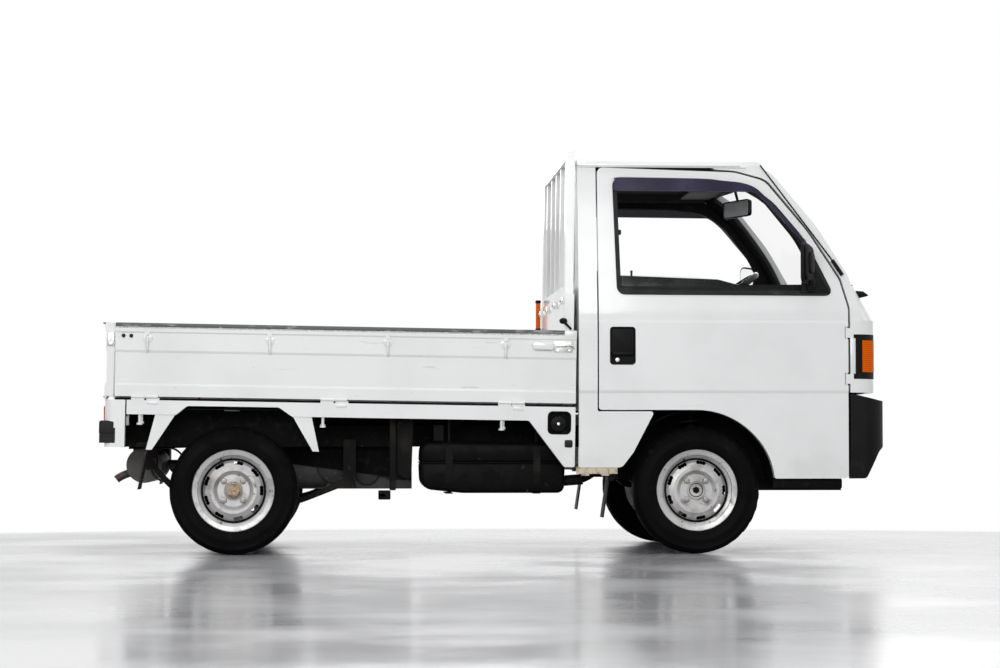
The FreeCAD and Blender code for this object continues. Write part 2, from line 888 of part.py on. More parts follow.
def skirt_hinge(x):
    """The skirt's half barrel, its web and the pin that enters the gate's half."""
    centre = (-hinge_side, s.hinge_height)
    barrel = rod("skirt_barrel", "x", centre, (x - s.hinge_length, x - 0.5), s.hinge_radius)
    pin = rod("hinge_pin", "x", centre, (x - 1, x + s.hinge_length), s.hinge_pin_radius)
    web_side = (-hinge_side, s.hinge_web - hinge_side)
    web = box("skirt_web", (x - s.hinge_length, x - 0.5), web_side, (s.skirt_top - 4, s.hinge_height))
    return join("skirt_hinge", barrel, pin, web)


def rope_peg(x):
    """A round-headed peg under the skirt for the bed's rope."""
    stem = rod("peg_stem", "z", (x, -skirt_outer + 16), (s.skirt_bottom - 34, s.skirt_bottom + 4), 6)
    head = rod("peg_head", "z", (x, -skirt_outer + 16), (s.skirt_bottom - 42, s.skirt_bottom - 34), 12)
    return join("rope_peg", stem, head)


def gate_hinge(x):
    """The gate's half barrel, bored for the pin, and the web to the gate's foot."""
    centre = (-hinge_side, s.hinge_height)
    barrel = rod("gate_barrel", "x", centre, (x + 0.5, x + s.hinge_length), s.hinge_radius)
    web = box(
        "gate_web",
        (x + 0.5, x + s.hinge_length),
        (-hinge_side, -gate_outer + 8),
        (s.gate_bottom, s.gate_bottom + s.hinge_web),
    )
    bore = rod("gate_bore", "x", centre, (x - 1, x + s.hinge_length + 1), s.hinge_pin_radius + s.seat_gap)
    return cut("gate_hinge", join("gate_hinge_blank", barrel, web), bore)


def gate_section(outer, inner):
    """A gate's section: its outer face is pressed in between the foot, the middle fold and the top rail."""
    foot = s.gate_bottom
    towards_inside = 1 if float(inner) > float(outer) else -1
    deep = outer + s.gate_press * towards_inside
    shallow = outer + s.gate_press / 2 * towards_inside
    return [
        (outer, foot),
        (outer, foot + 44),
        (deep, foot + 54),
        (deep, foot + 178),
        (shallow, foot + 188),
        (shallow, s.gate_top - 40),
        (outer, s.gate_top - 34),
        (outer, s.gate_top),
        (inner, s.gate_top),
        (inner, foot),
    ]


HOOK_PLACES = (-1460, -964, -484, 0)


def make_side_gates():
    panel = pad("gate_slab", "yz", gate_section(-gate_outer, -gate_inner), (bed_back, gate_front))
    hooks = []
    for x in HOOK_PLACES:
        centre = (x, s.gate_top - s.hook_drop)
        stem = rod("hook_stem", "y", centre, (-gate_outer - 8, -gate_outer + 2), 5)
        head = rod("hook_head", "y", centre, (-gate_outer - 12, -gate_outer - 8), 10)
        hooks.append(join("rope_hook", stem, head))
    right = join("gate_right_level", panel, *hooks, *[gate_hinge(x) for x in HINGE_PLACES])
    piece("gate_right", tilted(right))
    piece("gate_left", tilted(mirrored(right)))


def make_tailgate():
    section = gate_section(tailgate_outer, tailgate_inner)
    parts = [pad("tailgate_slab", "xz", section, (-gate_outer, gate_outer))]
    for y in TAILGATE_HINGES:
        centre = (tailgate_hinge_x, s.hinge_height)
        barrel = rod("tail_barrel", "y", centre, (y + 0.5, y + s.hinge_length), s.hinge_radius)
        web = box(
            "tail_web",
            (tailgate_hinge_x, tailgate_outer + 8),
            (y + 0.5, y + s.hinge_length),
            (s.gate_bottom, s.gate_bottom + s.hinge_web),
        )
        bore_span = (y - 1, y + s.hinge_length + 1)
        bore = rod("tail_bore", "y", centre, bore_span, s.hinge_pin_radius + s.seat_gap)
        parts.append(cut("tail_hinge", join("tail_hinge_blank", barrel, web), bore))
    piece("tailgate", tilted(join("tailgate_level", *parts)))


def make_rear_skirt():
    """The panel under the tailgate, wrapped round both corners, with its half of the hinges."""
    outer = s.rear_skirt_set - half_length
    wall = 35
    side = skirt_outer
    band = pad(
        "rear_band",
        "xy",
        [
            (outer, -side, 30),
            (outer, side, 30),
            (bed_back + 44, side),
            (bed_back + 44, skirt_inner),
            (outer + wall, skirt_inner),
            (outer + wall, -skirt_inner),
            (bed_back + 44, -skirt_inner),
            (bed_back + 44, -side),
        ],
        (s.rear_skirt_bottom, s.skirt_top),
    )
    parts = [band]
    for y in TAILGATE_HINGES:
        centre = (tailgate_hinge_x, s.hinge_height)
        barrel = rod("rear_barrel", "y", centre, (y - s.hinge_length, y - 0.5), s.hinge_radius)
        pin = rod("rear_pin", "y", centre, (y - 1, y + s.hinge_length), s.hinge_pin_radius)
        length = (y - s.hinge_length, y - 0.5)
        low = s.skirt_top - 4
        web_front = tailgate_hinge_x + s.hinge_web
        web = box("rear_web", (tailgate_hinge_x, web_front), length, (low, s.hinge_height))
        ledge = box("rear_ledge", (tailgate_hinge_x, outer + wall), length, (low, low + s.hinge_web))
        parts.append(join("rear_hinge", barrel, pin, web, ledge))
    shelf_span = (outer + wall - 1, bed_back - s.seat_gap)
    top = box("rear_shelf", shelf_span, (-bed_side, bed_side), (s.skirt_top - 40, s.skirt_top))
    lamp_side = (60 - side, 230 - side)
    lamp = box("tail_lamp", (outer - 6, outer - s.seat_gap), lamp_side, (s.skirt_top - 110, s.skirt_top - 25))
    piece("tail_lamps", tilted(both_sides(lamp)))
    block_span = (3 - half_length, bed_back + 6)
    block = box("buffer", block_span, (-side, 90 - side), (s.buffer_bottom, s.buffer_top))
    skirt = cut("rear_skirt_cut", join("rear_skirt_level", top, *parts), block, mirrored(block))
    piece("rear_skirt", tilted(skirt))
    piece("rear_buffers", tilted(both_sides(block)))


def make_headboard():
    """The bed's front board, low enough for the window above it."""
    span = (bed_front - s.headboard_wall, bed_front)
    board = box("board", span, (-bed_side, bed_side), (bed_underside, s.headboard_top))
    piece("headboard", tilted(board))


def make_guard_frame():
    """The white frame on the headboard that guards the cab's rear window."""
    tube = s.guard_tube
    back = bed_front - s.headboard_wall + 3
    front = back + tube
    low = s.headboard_top + s.seat_gap
    width = s.guard_half_width
    parts = [
        box("guard_top_bar", (back, front), (-width, width), (s.guard_top - tube, s.guard_top)),
        box("guard_foot_bar", (back, front), (-width, width), (low, low + tube)),
    ]
    for side in (-1, 1):
        edge = width * side
        inner = edge - 44 * side
        y = (edge, inner) if side < 0 else (inner, edge)
        parts.append(box("guard_post", (back, front), y, (low, s.guard_top)))
    for step in (-2, -1, 0, 1, 2):
        centre = s.guard_bar_spacing * step
        half = s.guard_bar_width / 2
        side = (centre - half, centre + half)
        parts.append(box("guard_bar", (back + 6, front - 6), side, (low, s.guard_top)))
    piece("guard_frame", tilted(join("guard_frame_level", *parts)))


# ------------------------------------------------------------------ cab

# corners of the door's curved front edge, as (X, Z)
SLANT_ROOF = (door_front - s.slant_roof_set, s.gutter_height - s.slant_roof_drop)
SLANT_TOP = (door_front - s.slant_top_set, s.gutter_height - s.slant_top_drop)
SLANT_MIDDLE = (door_front - s.slant_middle_set, s.belt_height + s.slant_middle_rise)
SLANT_FOOT = (door_front - s.slant_foot_set, s.belt_height + s.slant_foot_rise)
roof_front = SLANT_TOP[0] - s.roof_set
DOOR_HINGES = (700, 890)
outside = -half_width - 5


def side_section(name, inner, outer):
    """The right side wall's section: upright to the shoulder, then leaning in to the gutter."""
    lean = half_width - s.gutter_half_width
    top = s.gutter_height + 60
    rise = top - shoulder_height
    drift = lean * (rise / (s.gutter_height - shoulder_height))
    low = s.bumper_bottom - 60
    face = -(half_width - outer)
    inset = s.crease_depth
    return pad(
        name,
        "yz",
        [
            (-(half_width - inner), low),
            (face + inset, low),
            (face + inset, s.low_crease_height - inset * 3),
            (face, s.low_crease_height),
            (face, crease_height - inset * 3),
            (face + inset, crease_height),
            (face + inset, shoulder_height, 200),
            (face + drift, top),
            (-(half_width - inner - drift), top),
            (-(half_width - inner), shoulder_height, 200),
        ],
        (cab_back, door_front + 90),
    )


def door_outline():
    return pad(
        "door_outline",
        "xz",
        [
            (door_back, s.door_bottom, 12),
            (front_axle_x + 131, s.door_bottom, s.arch_radius),
            (front_axle_x + 302, s.door_toe + 111, s.arch_radius * 0.9),
            (door_toe_back, s.door_toe, 10),
            (door_front, s.door_toe, 20),
            (door_front, s.belt_height - s.elbow_drop, 100),
            (*SLANT_FOOT, 80),
            (*SLANT_MIDDLE, 600),
            (*SLANT_TOP, 90),
            (*SLANT_ROOF, 200),
            (door_back, door_top, 25),
        ],
        (outside, outside + 255),
    )


def window_outline():
    top_x, top_z = SLANT_TOP
    middle_x, middle_z = SLANT_MIDDLE
    return pad(
        "window",
        "xz",
        [
            (door_back + 88, s.belt_height, 20),
            (door_front - 74, s.belt_height - 3, 14),
            (middle_x - 25, middle_z - 40, 400),
            (top_x + 25, top_z - 105, 150),
            (top_x - 75, top_z - 27, 200),
            (top_x - 235, door_top - 46, 300),
            (door_back + 70, door_top - 42, 24),
        ],
        (outside - 5, outside + 265),
    )


def handle_recess():
    back = door_back + s.handle_set_in
    front = back + s.handle_width
    high = s.belt_height - s.handle_drop
    low = high - s.handle_tall
    corners = [(back, low, 14), (front, low, 14), (front, high, 14), (back, high, 14)]
    return pad("handle_recess", "xz", corners, (outside, s.handle_depth - half_width))


def make_doors():
    hinge_centre = (door_front - s.hinge_set_in, s.hinge_set_in - half_width)
    bore_radius = s.hinge_pin_radius + s.seat_gap
    knuckles = []
    for z in DOOR_HINGES:
        slot_span = (door_front - 15, door_front + 1)
        knuckles.append(box("hinge_slot", slot_span, (-half_width - 1, 14 - half_width), (z - 6, z + 46)))
        knuckles.append(rod("hinge_bore", "z", hinge_centre, (z - 26, z + 66), bore_radius))
    slot_x = (door_back + 66, door_front - 130)
    slot_z = (s.belt_height - 90, s.belt_height + 30)
    slot_box = box("slot_outline", slot_x, (-half_width, -cab_inner), slot_z)
    slot = overlap("glass_slot", side_section("slot_section", 24, 17), slot_box)
    frame = overlap("door_shell", side_section("door_section", s.cab_wall, 0), door_outline())
    right = cut("door", frame, window_outline(), slot, handle_recess(), *knuckles)
    piece("door_panel_right", right)
    piece("door_panel_left", mirrored(right))
    glass = overlap("glass", side_section("glass_section", 23, 18), door_glass_outline())
    piece("door_glass_right", glass)
    piece("door_glass_left", mirrored(glass))
    make_door_mirrors()


def door_glass_outline():
    """The wound-down window: its upper edge still shows above the sill."""
    low = s.belt_height - 88
    return pad(
        "glass_outline",
        "xz",
        [
            (door_back + 92, low),
            (door_back + 92, s.belt_height + 74, 20),
            (door_back + 420, s.belt_height + 64, 300),
            (door_back + 590, s.belt_height + 22, 200),
            (door_front - 150, s.belt_height + 6),
            (door_front - 150, low),
        ],
        (-half_width, -cab_inner + 60),
    )


def make_door_mirrors():
    """The mirror head on its arm, and the triangular foot in the window's front corner."""
    foot_x = door_front - s.mirror_set
    low = s.belt_height + 30
    head_side = (-half_width - s.mirror_reach, -half_width - 8)
    head = box("mirror_head", (foot_x, foot_x + 36), head_side, (low, low + s.mirror_tall))
    arm_side = (-half_width - 20, -half_width + 24)
    arm = box("mirror_arm", (foot_x + 8, foot_x + 26), arm_side, (low + 12, low + 42))
    foot = pad(
        "mirror_foot",
        "xz",
        [
            (foot_x, s.belt_height - 2),
            (door_front - 98, s.belt_height - 2),
            (foot_x + 8, s.belt_height + 150, 12),
        ],
        (-half_width + 14, -half_width + 24),
    )
    right = join("door_mirror", head, arm, foot)
    piece("door_mirror_right", right)
    piece("door_mirror_left", mirrored(right))


def front_pillar_outline():
    """The windscreen pillar's side outline, which also notches the nose at its foot."""
    top = s.gutter_height - s.seat_gap
    gap = s.seam_gap
    wide = gap + s.pillar_width
    back = SLANT_ROOF[0] - 100
    roof_x, roof_z = SLANT_ROOF
    top_x, top_z = SLANT_TOP
    middle_x, middle_z = SLANT_MIDDLE
    foot_x, foot_z = SLANT_FOOT
    return pad(
        "front_pillar",
        "xz",
        [
            (back, top),
            (back + 20, top - 12),
            (roof_x + 2, roof_z + 7, 200),
            (top_x + gap, top_z + 7, 95),
            (middle_x + gap, middle_z + 5, 600),
            (foot_x + gap, foot_z + 5, 80),
            (nose_back, crease_height + 52, 60),
            (nose_back, crease_height),
            (nose_back + 56, crease_height),
            (foot_x + wide, foot_z + 18, 80),
            (middle_x + wide, middle_z + 24, 600),
            (top_x + gap + 28, top_z + 26, 80),
            (roof_front - 5, top),
        ],
        (outside, outside + 255),
    )


def make_cab_sides():
    """On each side, the rear pillar with the quarter panel at its foot, and the windscreen pillar."""
    edge = door_back - s.panel_gap
    foot = s.door_bottom - s.panel_gap
    top = s.gutter_height - s.seat_gap
    rear = pad(
        "rear_pillar",
        "xz",
        [
            (cab_back, s.sill_height, 6),
            (cab_back + 176, s.sill_height, 30),
            (cab_back + 224, s.sill_height + 62, 30),
            (cab_back + 312, foot, 10),
            (edge, foot, 8),
            (edge, top),
            (cab_back, top),
        ],
        (outside, outside + 255),
    )
    wall = side_section("pillar_section", s.cab_wall, 0)
    piece("rear_pillars", both_sides(overlap("rear_pillar_right", wall, rear)))
    piece("front_pillars", both_sides(overlap("front_pillar_right", wall, front_pillar_outline())))


def across(name, lower_half, upper_half, span):
    """A slab across the cab whose edges follow the side walls' lean."""
    return pad(
        name,
        "yz",
        [
            (-lower_half, s.bumper_bottom),
            (-lower_half, shoulder_height, 200),
            (-upper_half, s.gutter_height),
            (upper_half, s.gutter_height),
            (lower_half, shoulder_height, 200),
            (lower_half, s.bumper_bottom),
        ],
        span,
    )


def rear_window_outline(name, edge, span):
    """The rear window's rounded outline, drawn in by an edge."""
    low = s.belt_height + 52 + edge
    high = s.gutter_height - 124 - edge
    foot = s.rear_window_half - edge
    head = foot - 30
    corners = [(-foot, low, 40), (-head, high, 40), (head, high, 40), (foot, low, 40)]
    return pad(name, "yz", corners, span)


def make_cab_back():
    inner = cab_inner - s.seat_gap
    upper = s.gutter_half_width - s.cab_wall - s.seat_gap
    slab = across("back_slab", inner, upper, (cab_back, cab_back + s.cab_back_wall))
    trim_z = (s.platform_top - s.floor_wall, s.gutter_height - s.seat_gap)
    trim = box("back_trim", (cab_back - 1, cab_back + 100), (-half_width, half_width), trim_z)
    hole = rear_window_outline("rear_window_hole", 0, (cab_back - 5, cab_back + 60))
    piece("cab_back_wall", cut("back_wall", overlap("back_blank", slab, trim), hole))
    pane_x = cab_back + 16
    piece("rear_window", rear_window_outline("pane", s.seat_gap, (pane_x, pane_x + s.glass_wall)))


def make_roof():
    half = s.gutter_half_width
    edge = s.gutter_height
    section = pad(
        "roof_section",
        "yz",
        [
            (-half, edge),
            (-half + 12, edge + 34, 30),
            (0, roof_crown, s.crown_radius),
            (half - 12, edge + 34, 30),
            (half, edge),
            (half - s.cab_wall, edge),
            (half - s.cab_wall, edge + 10, 8),
            (0, roof_crown - s.roof_wall, s.crown_radius),
            (s.cab_wall - half, edge + 10, 8),
            (s.cab_wall - half, edge),
        ],
        (cab_back, roof_front + 4),
    )
    profile = pad(
        "roof_profile",
        "xz",
        [
            (cab_back, edge - 10),
            (cab_back, roof_crown - 40, 20),
            (cab_back + 40, roof_crown + 4),
            (roof_front - 166, roof_crown + 4, 200),
            (roof_front, edge + 14, 20),
            (roof_front, edge - 10),
        ],
        (-half - 5, half + 5),
    )
    gutter = box("gutter", (cab_back, roof_front - 90), (-half - 12, -half + 4), (edge, edge + 5))
    back_fill = box("roof_back", (cab_back, cab_back + 38), (4 - half, half - 4), (edge, edge + 30))
    front_fill = box("roof_front", (roof_front - 46, roof_front), (4 - half, half - 4), (edge, edge + 14))
    parts = [overlap("roof_shell", section, profile), gutter, mirrored(gutter), back_fill, front_fill]
    piece("roof_panel", join("roof", *parts))


def nose_ring(proud, wall, corner_set=s.nose_corner_set, face_set=s.nose_face_set):
    """The nose's plan as a band from the right door's edge round to the left, stood proud by a length."""
    side = half_width + proud
    corner_x = half_length - corner_set + proud
    face_x = half_length - face_set + proud
    flat = s.nose_flat
    inner_corner = corner_x - wall
    return [
        (nose_back, -side),
        (corner_x, -side, 90),
        (face_x, -flat, 900),
        (face_x, flat, 900),
        (corner_x, side, 90),
        (nose_back, side),
        (nose_back, side - wall),
        (inner_corner, side - wall, 50),
        (face_x - wall, flat, 860),
        (face_x - wall, -flat, 860),
        (inner_corner, wall - side, 50),
        (nose_back, wall - side),
    ]


def sheared(name, corners, low, high, drift):
    """A plan outline drawn up from low to high while it drifts along X."""
    sketch = doc.addObject("Sketcher::SketchObject", name + "_plan")
    draw_outline(sketch, corners)
    bind(sketch, "Placement.Base.z", low)
    run = doc.addObject("Part::Extrusion", name)
    run.Base = sketch
    run.DirMode = "Custom"
    run.Dir = Vector(float(drift), 0, float(high) - float(low))
    run.Solid = True
    bind(run, "Dir.x", drift)
    bind(run, "Dir.z", high - low)
    return run


def door_hinge(z):
    """The nose's half of a door hinge: a lug behind its edge, with the pin that the door turns on."""
    centre = (door_front - s.hinge_set_in, s.hinge_set_in - half_width)
    lug_span = (door_front - s.hinge_set_in, nose_back + 10)
    lug = box("hinge_lug", lug_span, (1 - half_width, 11 - half_width), (z, z + 40))
    barrel = rod("hinge_barrel", "z", centre, (z, z + 40), s.hinge_set_in - 1)
    pin = rod("door_pin", "z", centre, (z - 20, z + 60), s.hinge_pin_radius)
    return join("door_hinge", lug, barrel, pin)


def in_front(name, side, height, back=nose_back):
    """A block from a place behind the nose's skin to well ahead of it."""
    return box(name, (back, half_length + 50), side, height)


def make_front_panel():
    """The cab's nose between the bumper and the windscreen, with openings for the lamps."""
    lower_height = (s.bumper_top + s.panel_gap, crease_height)
    lower = pad("nose_lower", "xy", nose_ring(0, s.nose_wall), lower_height)
    lamp_side = (outside, s.lamp_inner_set - half_width)
    hole = in_front("lamp_hole", lamp_side, (s.lamp_bottom, s.lamp_top), nose_back - 30)
    drift = (cowl_height - crease_height) * -0.55
    upper_ring = nose_ring(-s.crease_depth, s.nose_wall)
    upper = sheared("nose_upper", upper_ring, crease_height, cowl_height, drift)
    trim = in_front("nose_trim", (-half_width, half_width), (s.bumper_bottom, cowl_height))
    panel = overlap("nose_trimmed", join("nose", lower, upper), trim)
    pillar_foot = front_pillar_outline()
    shell = cut("front_panel_cut", panel, hole, mirrored(hole), pillar_foot, mirrored(pillar_foot))
    hinges = [door_hinge(z) for z in DOOR_HINGES]
    lefts = [mirrored(hinge) for hinge in hinges]
    piece("front_panel", join("front_panel_whole", shell, *hinges, *lefts))


def make_lamps():
    """Black lamp units that wrap round the nose's corners, with the headlamps and turn signals in them."""
    gap = s.seat_gap
    low, high = s.lamp_bottom, s.lamp_top
    unit_side = (outside, s.lamp_inner_set - half_width - gap)
    lens_side = (s.lens_outer_set - half_width, s.lens_inner_set - half_width)
    amber_side = (outside, s.amber_set - half_width)
    amber_back = half_length - s.nose_corner_set - 52
    band = pad("lamp_band", "xy", nose_ring(1, 30), (low + gap, high - gap))
    half = in_front("lamp_half", unit_side, (low, high), nose_back + 22)
    lens_hole = in_front("lens_hole", lens_side, (low + 18, high - 18))
    amber_hole = in_front("amber_hole", amber_side, (low + 28, high - 24), amber_back)
    unit = cut("lamp_unit", overlap("lamp_blank", band, half), lens_hole, amber_hole)
    piece("lamp_surrounds", both_sides(unit))
    lens_band = pad("lens_band", "xy", nose_ring(2, 12), (low + 18 + gap, high - 18 - gap))
    lens_box = in_front("lens_box", (lens_side[0] + gap, lens_side[1] - gap), (low, high))
    piece("headlamps", both_sides(overlap("headlamp", lens_band, lens_box)))
    amber_band = pad("amber_band", "xy", nose_ring(2, 12), (low + 28 + gap, high - 24 - gap))
    amber_box = in_front("amber_box", (outside, amber_side[1] - gap), (low, high), amber_back + gap)
    piece("turn_signals", both_sides(overlap("turn_signal", amber_band, amber_box)))


def make_bumper():
    """The deep black bumper, which comes to the truck's very front, with stays to the rails."""
    face = half_length
    low, high = s.bumper_bottom, s.bumper_top
    band = pad("bumper_band", "xy", nose_ring(0, s.cab_wall, s.bumper_corner_set, 0), (low, high))
    behind = nose_back - 100
    profile = pad(
        "bumper_profile",
        "xz",
        [
            (behind, low),
            (face - 155, low, 20),
            (face - 97, low + 112, 60),
            (face - 30, low + 165, 60),
            (face + 4, low + 215, 60),
            (face + 4, high - 36, 14),
            (face - 95, high - 26, 60),
            (nose_back + 8, high + 1),
            (behind, high + 1),
        ],
        (outside, -outside),
    )
    stay_back = face - s.front_rail_set + s.seat_gap
    stay_front = face - s.cab_wall + 5
    stay = pad(
        "bumper_stay",
        "xz",
        [
            (stay_back, low + 1),
            (stay_back + 30, low + 1),
            (stay_front, low + 200),
            (stay_front, low + 250),
            (stay_back, low + 70),
        ],
        (5 - rail_outer, -s.rail_inner - 5),
    )
    piece("front_bumper", join("bumper_whole", overlap("bumper", band, profile), stay, mirrored(stay)))


def make_windscreen():
    """The windscreen leans back from the cowl to the roof and bows forward in its middle."""
    side = half_width - 57.5
    foot = door_front - 15
    bow = foot + s.screen_bow
    low, high = cowl_height + s.cowl_wall + s.seat_gap, s.gutter_height - 8
    drift = (high - low) * -0.76
    wall = s.glass_wall
    ring = [
        (foot, -side),
        (bow, -300, 2000),
        (bow, 300, 2000),
        (foot, side),
        (foot - wall, side),
        (bow - wall, 300, 1995),
        (bow - wall, -300, 1995),
        (foot - wall, -side),
    ]
    sheet_of_glass = sheared("windscreen_run", ring, low, high, drift)
    upper_half = s.gutter_half_width - s.cab_wall - s.seat_gap
    span = (cab_back, half_length - 47)
    limit = across("windscreen_limit", cab_inner - s.seat_gap, upper_half, span)
    piece("windscreen", overlap("windscreen_pane", sheet_of_glass, limit))


def make_cowl():
    """The black cowl on the nose's upper edge, with the wipers' pivots standing on it."""
    low, high = cowl_height + s.seat_gap, cowl_height + s.cowl_wall
    back, corner, bow = door_front - 79, door_front + 5, door_front + 76
    outline = [(back, -600), (corner, -600), (bow, -260, 900), (bow, 260, 900), (corner, 600), (back, 600)]
    piece("cowl", pad("cowl_tray", "xy", outline, (low, high)))
    wipers = []
    for y in (-330, 180):
        pivot_x = door_front + 49
        pivot = rod("wiper_pivot", "z", (pivot_x, y), (high + s.seat_gap, high + 18), 9)
        arm_end = (pivot_x - 26, y + s.wiper_reach, high + 26)
        arm = bar("wiper_arm", (pivot_x, y, high + 14), arm_end, 4)
        wipers.append(join("wiper", pivot, arm))
    piece("wipers", group("wiper_pair", *wipers))


def make_cab_floor():
    """Foot well, riser and seat platform as one bent sheet, with the strut towers under it."""
    wall = s.floor_wall
    side = cab_inner - s.panel_gap
    back = cab_back + s.cab_back_wall + s.seat_gap
    wall_top = crease_height + 4
    sheet_outline = [
        (back, s.platform_top),
        (riser_back + wall, s.platform_top, 20),
        (riser_back + wall, s.floor_top, 30),
        (firewall - 60, s.floor_top, 40),
        (firewall, s.floor_top + 200),
        (firewall, wall_top),
        (firewall + 8, wall_top),
        (firewall + 8, s.floor_top + 190),
        (firewall - 40, s.floor_top - wall, 60),
        (riser_back, s.floor_top - wall, 20),
        (riser_back, s.platform_top - wall, 20),
        (back, s.platform_top - wall),
    ]
    floor = pad("floor_sheet", "xz", sheet_outline, (-side, side))
    house_x = cab_back + s.wheel_house_set
    house_z = (s.sill_height + 20, s.platform_top - wall + 1)
    house = box("wheel_house_back", (house_x, house_x + 6), (-side, -rail_outer - 5), house_z)
    tower = bar("strut_tower", king_point(0.965), king_point(1.03), 36)
    bore = bar("tower_bore", king_point(0.8), king_point(1.005), s.king_pin_radius + s.seat_gap)
    parts = [floor, house, mirrored(house), tower, mirrored(tower)]
    column_hole = bar("column_hole", column_point(700), column_point(900), s.column_radius + s.seat_gap)
    whole = cut("cab_floor_cut", join("cab_floor_blank", *parts), bore, mirrored(bore), column_hole)
    piece("cab_floor", whole)


def make_dashboard():
    belt = s.belt_height
    outline = [
        (firewall - 242, belt - 198, 20),
        (firewall - 252, belt - 58, 40),
        (firewall - 182, belt - 8, 40),
        (firewall - 52, belt + 7, 20),
        (firewall - 12, belt - 78),
        (firewall - s.seat_gap, crease_height),
        (firewall - s.seat_gap, belt - 178),
        (firewall - 152, belt - 228, 30),
    ]
    piece("dashboard", pad("dash", "xz", outline, (-590, 590)))


def column_point(reach):
    """A point down the steering column from the wheel's centre."""
    return (
        steering_wheel_x + sine(s.column_tilt) * reach,
        -s.driver_side,
        steering_wheel_height - cosine(s.column_tilt) * reach,
    )


def make_steering():
    column = bar("column_tube", column_point(70), column_point(850), s.column_radius)
    bore = bar("column_bore", column_point(60), column_point(121), s.king_pin_radius + s.shaft_clearance)
    piece("steering_column", cut("column", column, bore))
    ring = doc.addObject("Part::Torus", "wheel_ring")
    bind(ring, "Radius1", s.steering_wheel_radius)
    bind(ring, "Radius2", s.grip_radius)
    hub = rod("wheel_hub", "z", (0, 0), (-64, -20), 34)
    shaft = rod("wheel_shaft", "z", (0, 0), (-120, -60), s.king_pin_radius)
    spokes = []
    for degrees in (-90, 30, 150):
        reach = s.steering_wheel_radius - 4
        end = (reach * cosine(degrees), reach * sine(degrees), 0)
        spokes.append(bar("spoke", (0, 0, -40), end, 9))
    wheel = join("steering_wheel_level", ring, hub, shaft, *spokes)
    obj = group("steering_wheel_set", wheel)
    tilt = "rotation(vector(0; 1; 0); 0 - sizes.column_tilt)"
    place = f"vector({steering_wheel_x.text}; 0 - sizes.driver_side; {steering_wheel_height.text})"
    obj.setExpression("Placement", f"placement({place}; {tilt})")
    piece("steering_wheel", obj)


def make_seats():
    """Two seats: plain closed cushions and backs on the platform."""
    half = s.seat_half_width
    side = (-s.driver_side - half, -s.driver_side + half)
    base = s.platform_top + s.seat_gap
    back = cab_back + s.seat_setback
    foot = back + 137
    front = foot + s.seat_length
    high = s.belt_height + s.seat_back_rise
    cushion_corners = [
        (foot, base, 20),
        (foot, base + s.cushion_wall - 30, 30),
        (front - 10, base + s.cushion_wall, 50),
        (front, base, 30),
    ]
    rest_corners = [
        (back, base, 20),
        (back - 14, high, 40),
        (back + 80, high, 40),
        (foot - 2, base + 60, 60),
        (foot - 2, base, 10),
    ]
    cushion = pad("cushion", "xz", cushion_corners, side)
    rest = pad("seat_back", "xz", rest_corners, side)
    piece("seats", group("seat_set", cushion, mirrored(cushion), rest, mirrored(rest)))


def make_mirror():
    x = roof_front - 30
    top = s.gutter_height - s.seat_gap
    stem = rod("mirror_stem", "z", (x, 0), (top - 90, top), 7)
    head = box("mirror_glass", (x + 6, x + 26), (-115, 115), (top - 160, top - 84))
    neck = box("mirror_neck", (x - 4, x + 12), (-7, 7), (top - 100, top - 86))
    piece("interior_mirror", join("inner_mirror", stem, neck, head))


def make_antenna():
    side = s.antenna_set - half_width
    foot = (door_front - 21, side, s.belt_height + 72)
    elbow = (door_front - 61, side + 9, s.belt_height + 134)
    tip = (door_front - 351, side + 63, s.gutter_height + 6)
    base = bar("antenna_base", foot, elbow, 8)
    mast = bar("antenna_rod", elbow, tip, 3)
    piece("antenna", join("antenna_whole", base, mast))


def make_mud_flaps():
    """Rubber flaps behind the front and the rear wheels."""
    wall = s.flap_wall
    rear_x = rear_axle_x - 338
    rear_corners = [(rear_x - wall, 440), (rear_x, 440), (rear_x - 37, 240), (rear_x - 37 - wall, 240)]
    rear = pad("rear_flap", "xz", rear_corners, (-skirt_outer + 14 + s.seat_gap, -s.flap_inner))
    x = cab_back + s.wheel_house_set - s.seat_gap
    front_corners = [(x - wall, 420), (x, 420), (x - 40, 150), (x - 40 - wall, 150)]
    front = pad("front_flap", "xz", front_corners, (s.panel_gap - cab_inner, -s.flap_inner))
    piece("mud_flaps", group("flap_set", tilted(both_sides(rear)), both_sides(front)))


def export():
    failed = [obj.Name for obj in doc.Objects if "Invalid" in obj.State or "Error" in obj.State]
    shapes = [(obj.Label, obj.Shape) for obj in pieces]
    bad = [label for label, shape in shapes if shape.isNull() or not shape.isValid() or not shape.Solids]
    if failed or bad:
        raise RuntimeError(f"failed objects: {failed}; bad shapes: {bad}")
    os.makedirs("parts", exist_ok=True)
    for obj in pieces:
        obj.Shape.exportStep(f"parts/{obj.Label}.step")


make_wheels()
make_knuckles()
make_front_arms()
make_rear_axle()
make_leaf_springs()
make_muffler()
make_engine()
make_fuel_tank()
make_chassis()
make_bed_floor()
make_skirts()
make_side_gates()
make_tailgate()
make_rear_skirt()
make_headboard()
make_guard_frame()
make_doors()
make_cab_sides()
make_cab_back()
make_roof()
make_front_panel()
make_lamps()
make_bumper()
make_windscreen()
make_cowl()
make_cab_floor()
make_dashboard()
make_steering()
make_seats()
make_mirror()
make_antenna()
make_mud_flaps()
doc.recompute()
export()
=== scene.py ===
from functools import partial
from math import atan2, cos, pi, radians, sin, tan

import bmesh
import bpy
from mathutils import Matrix, Vector


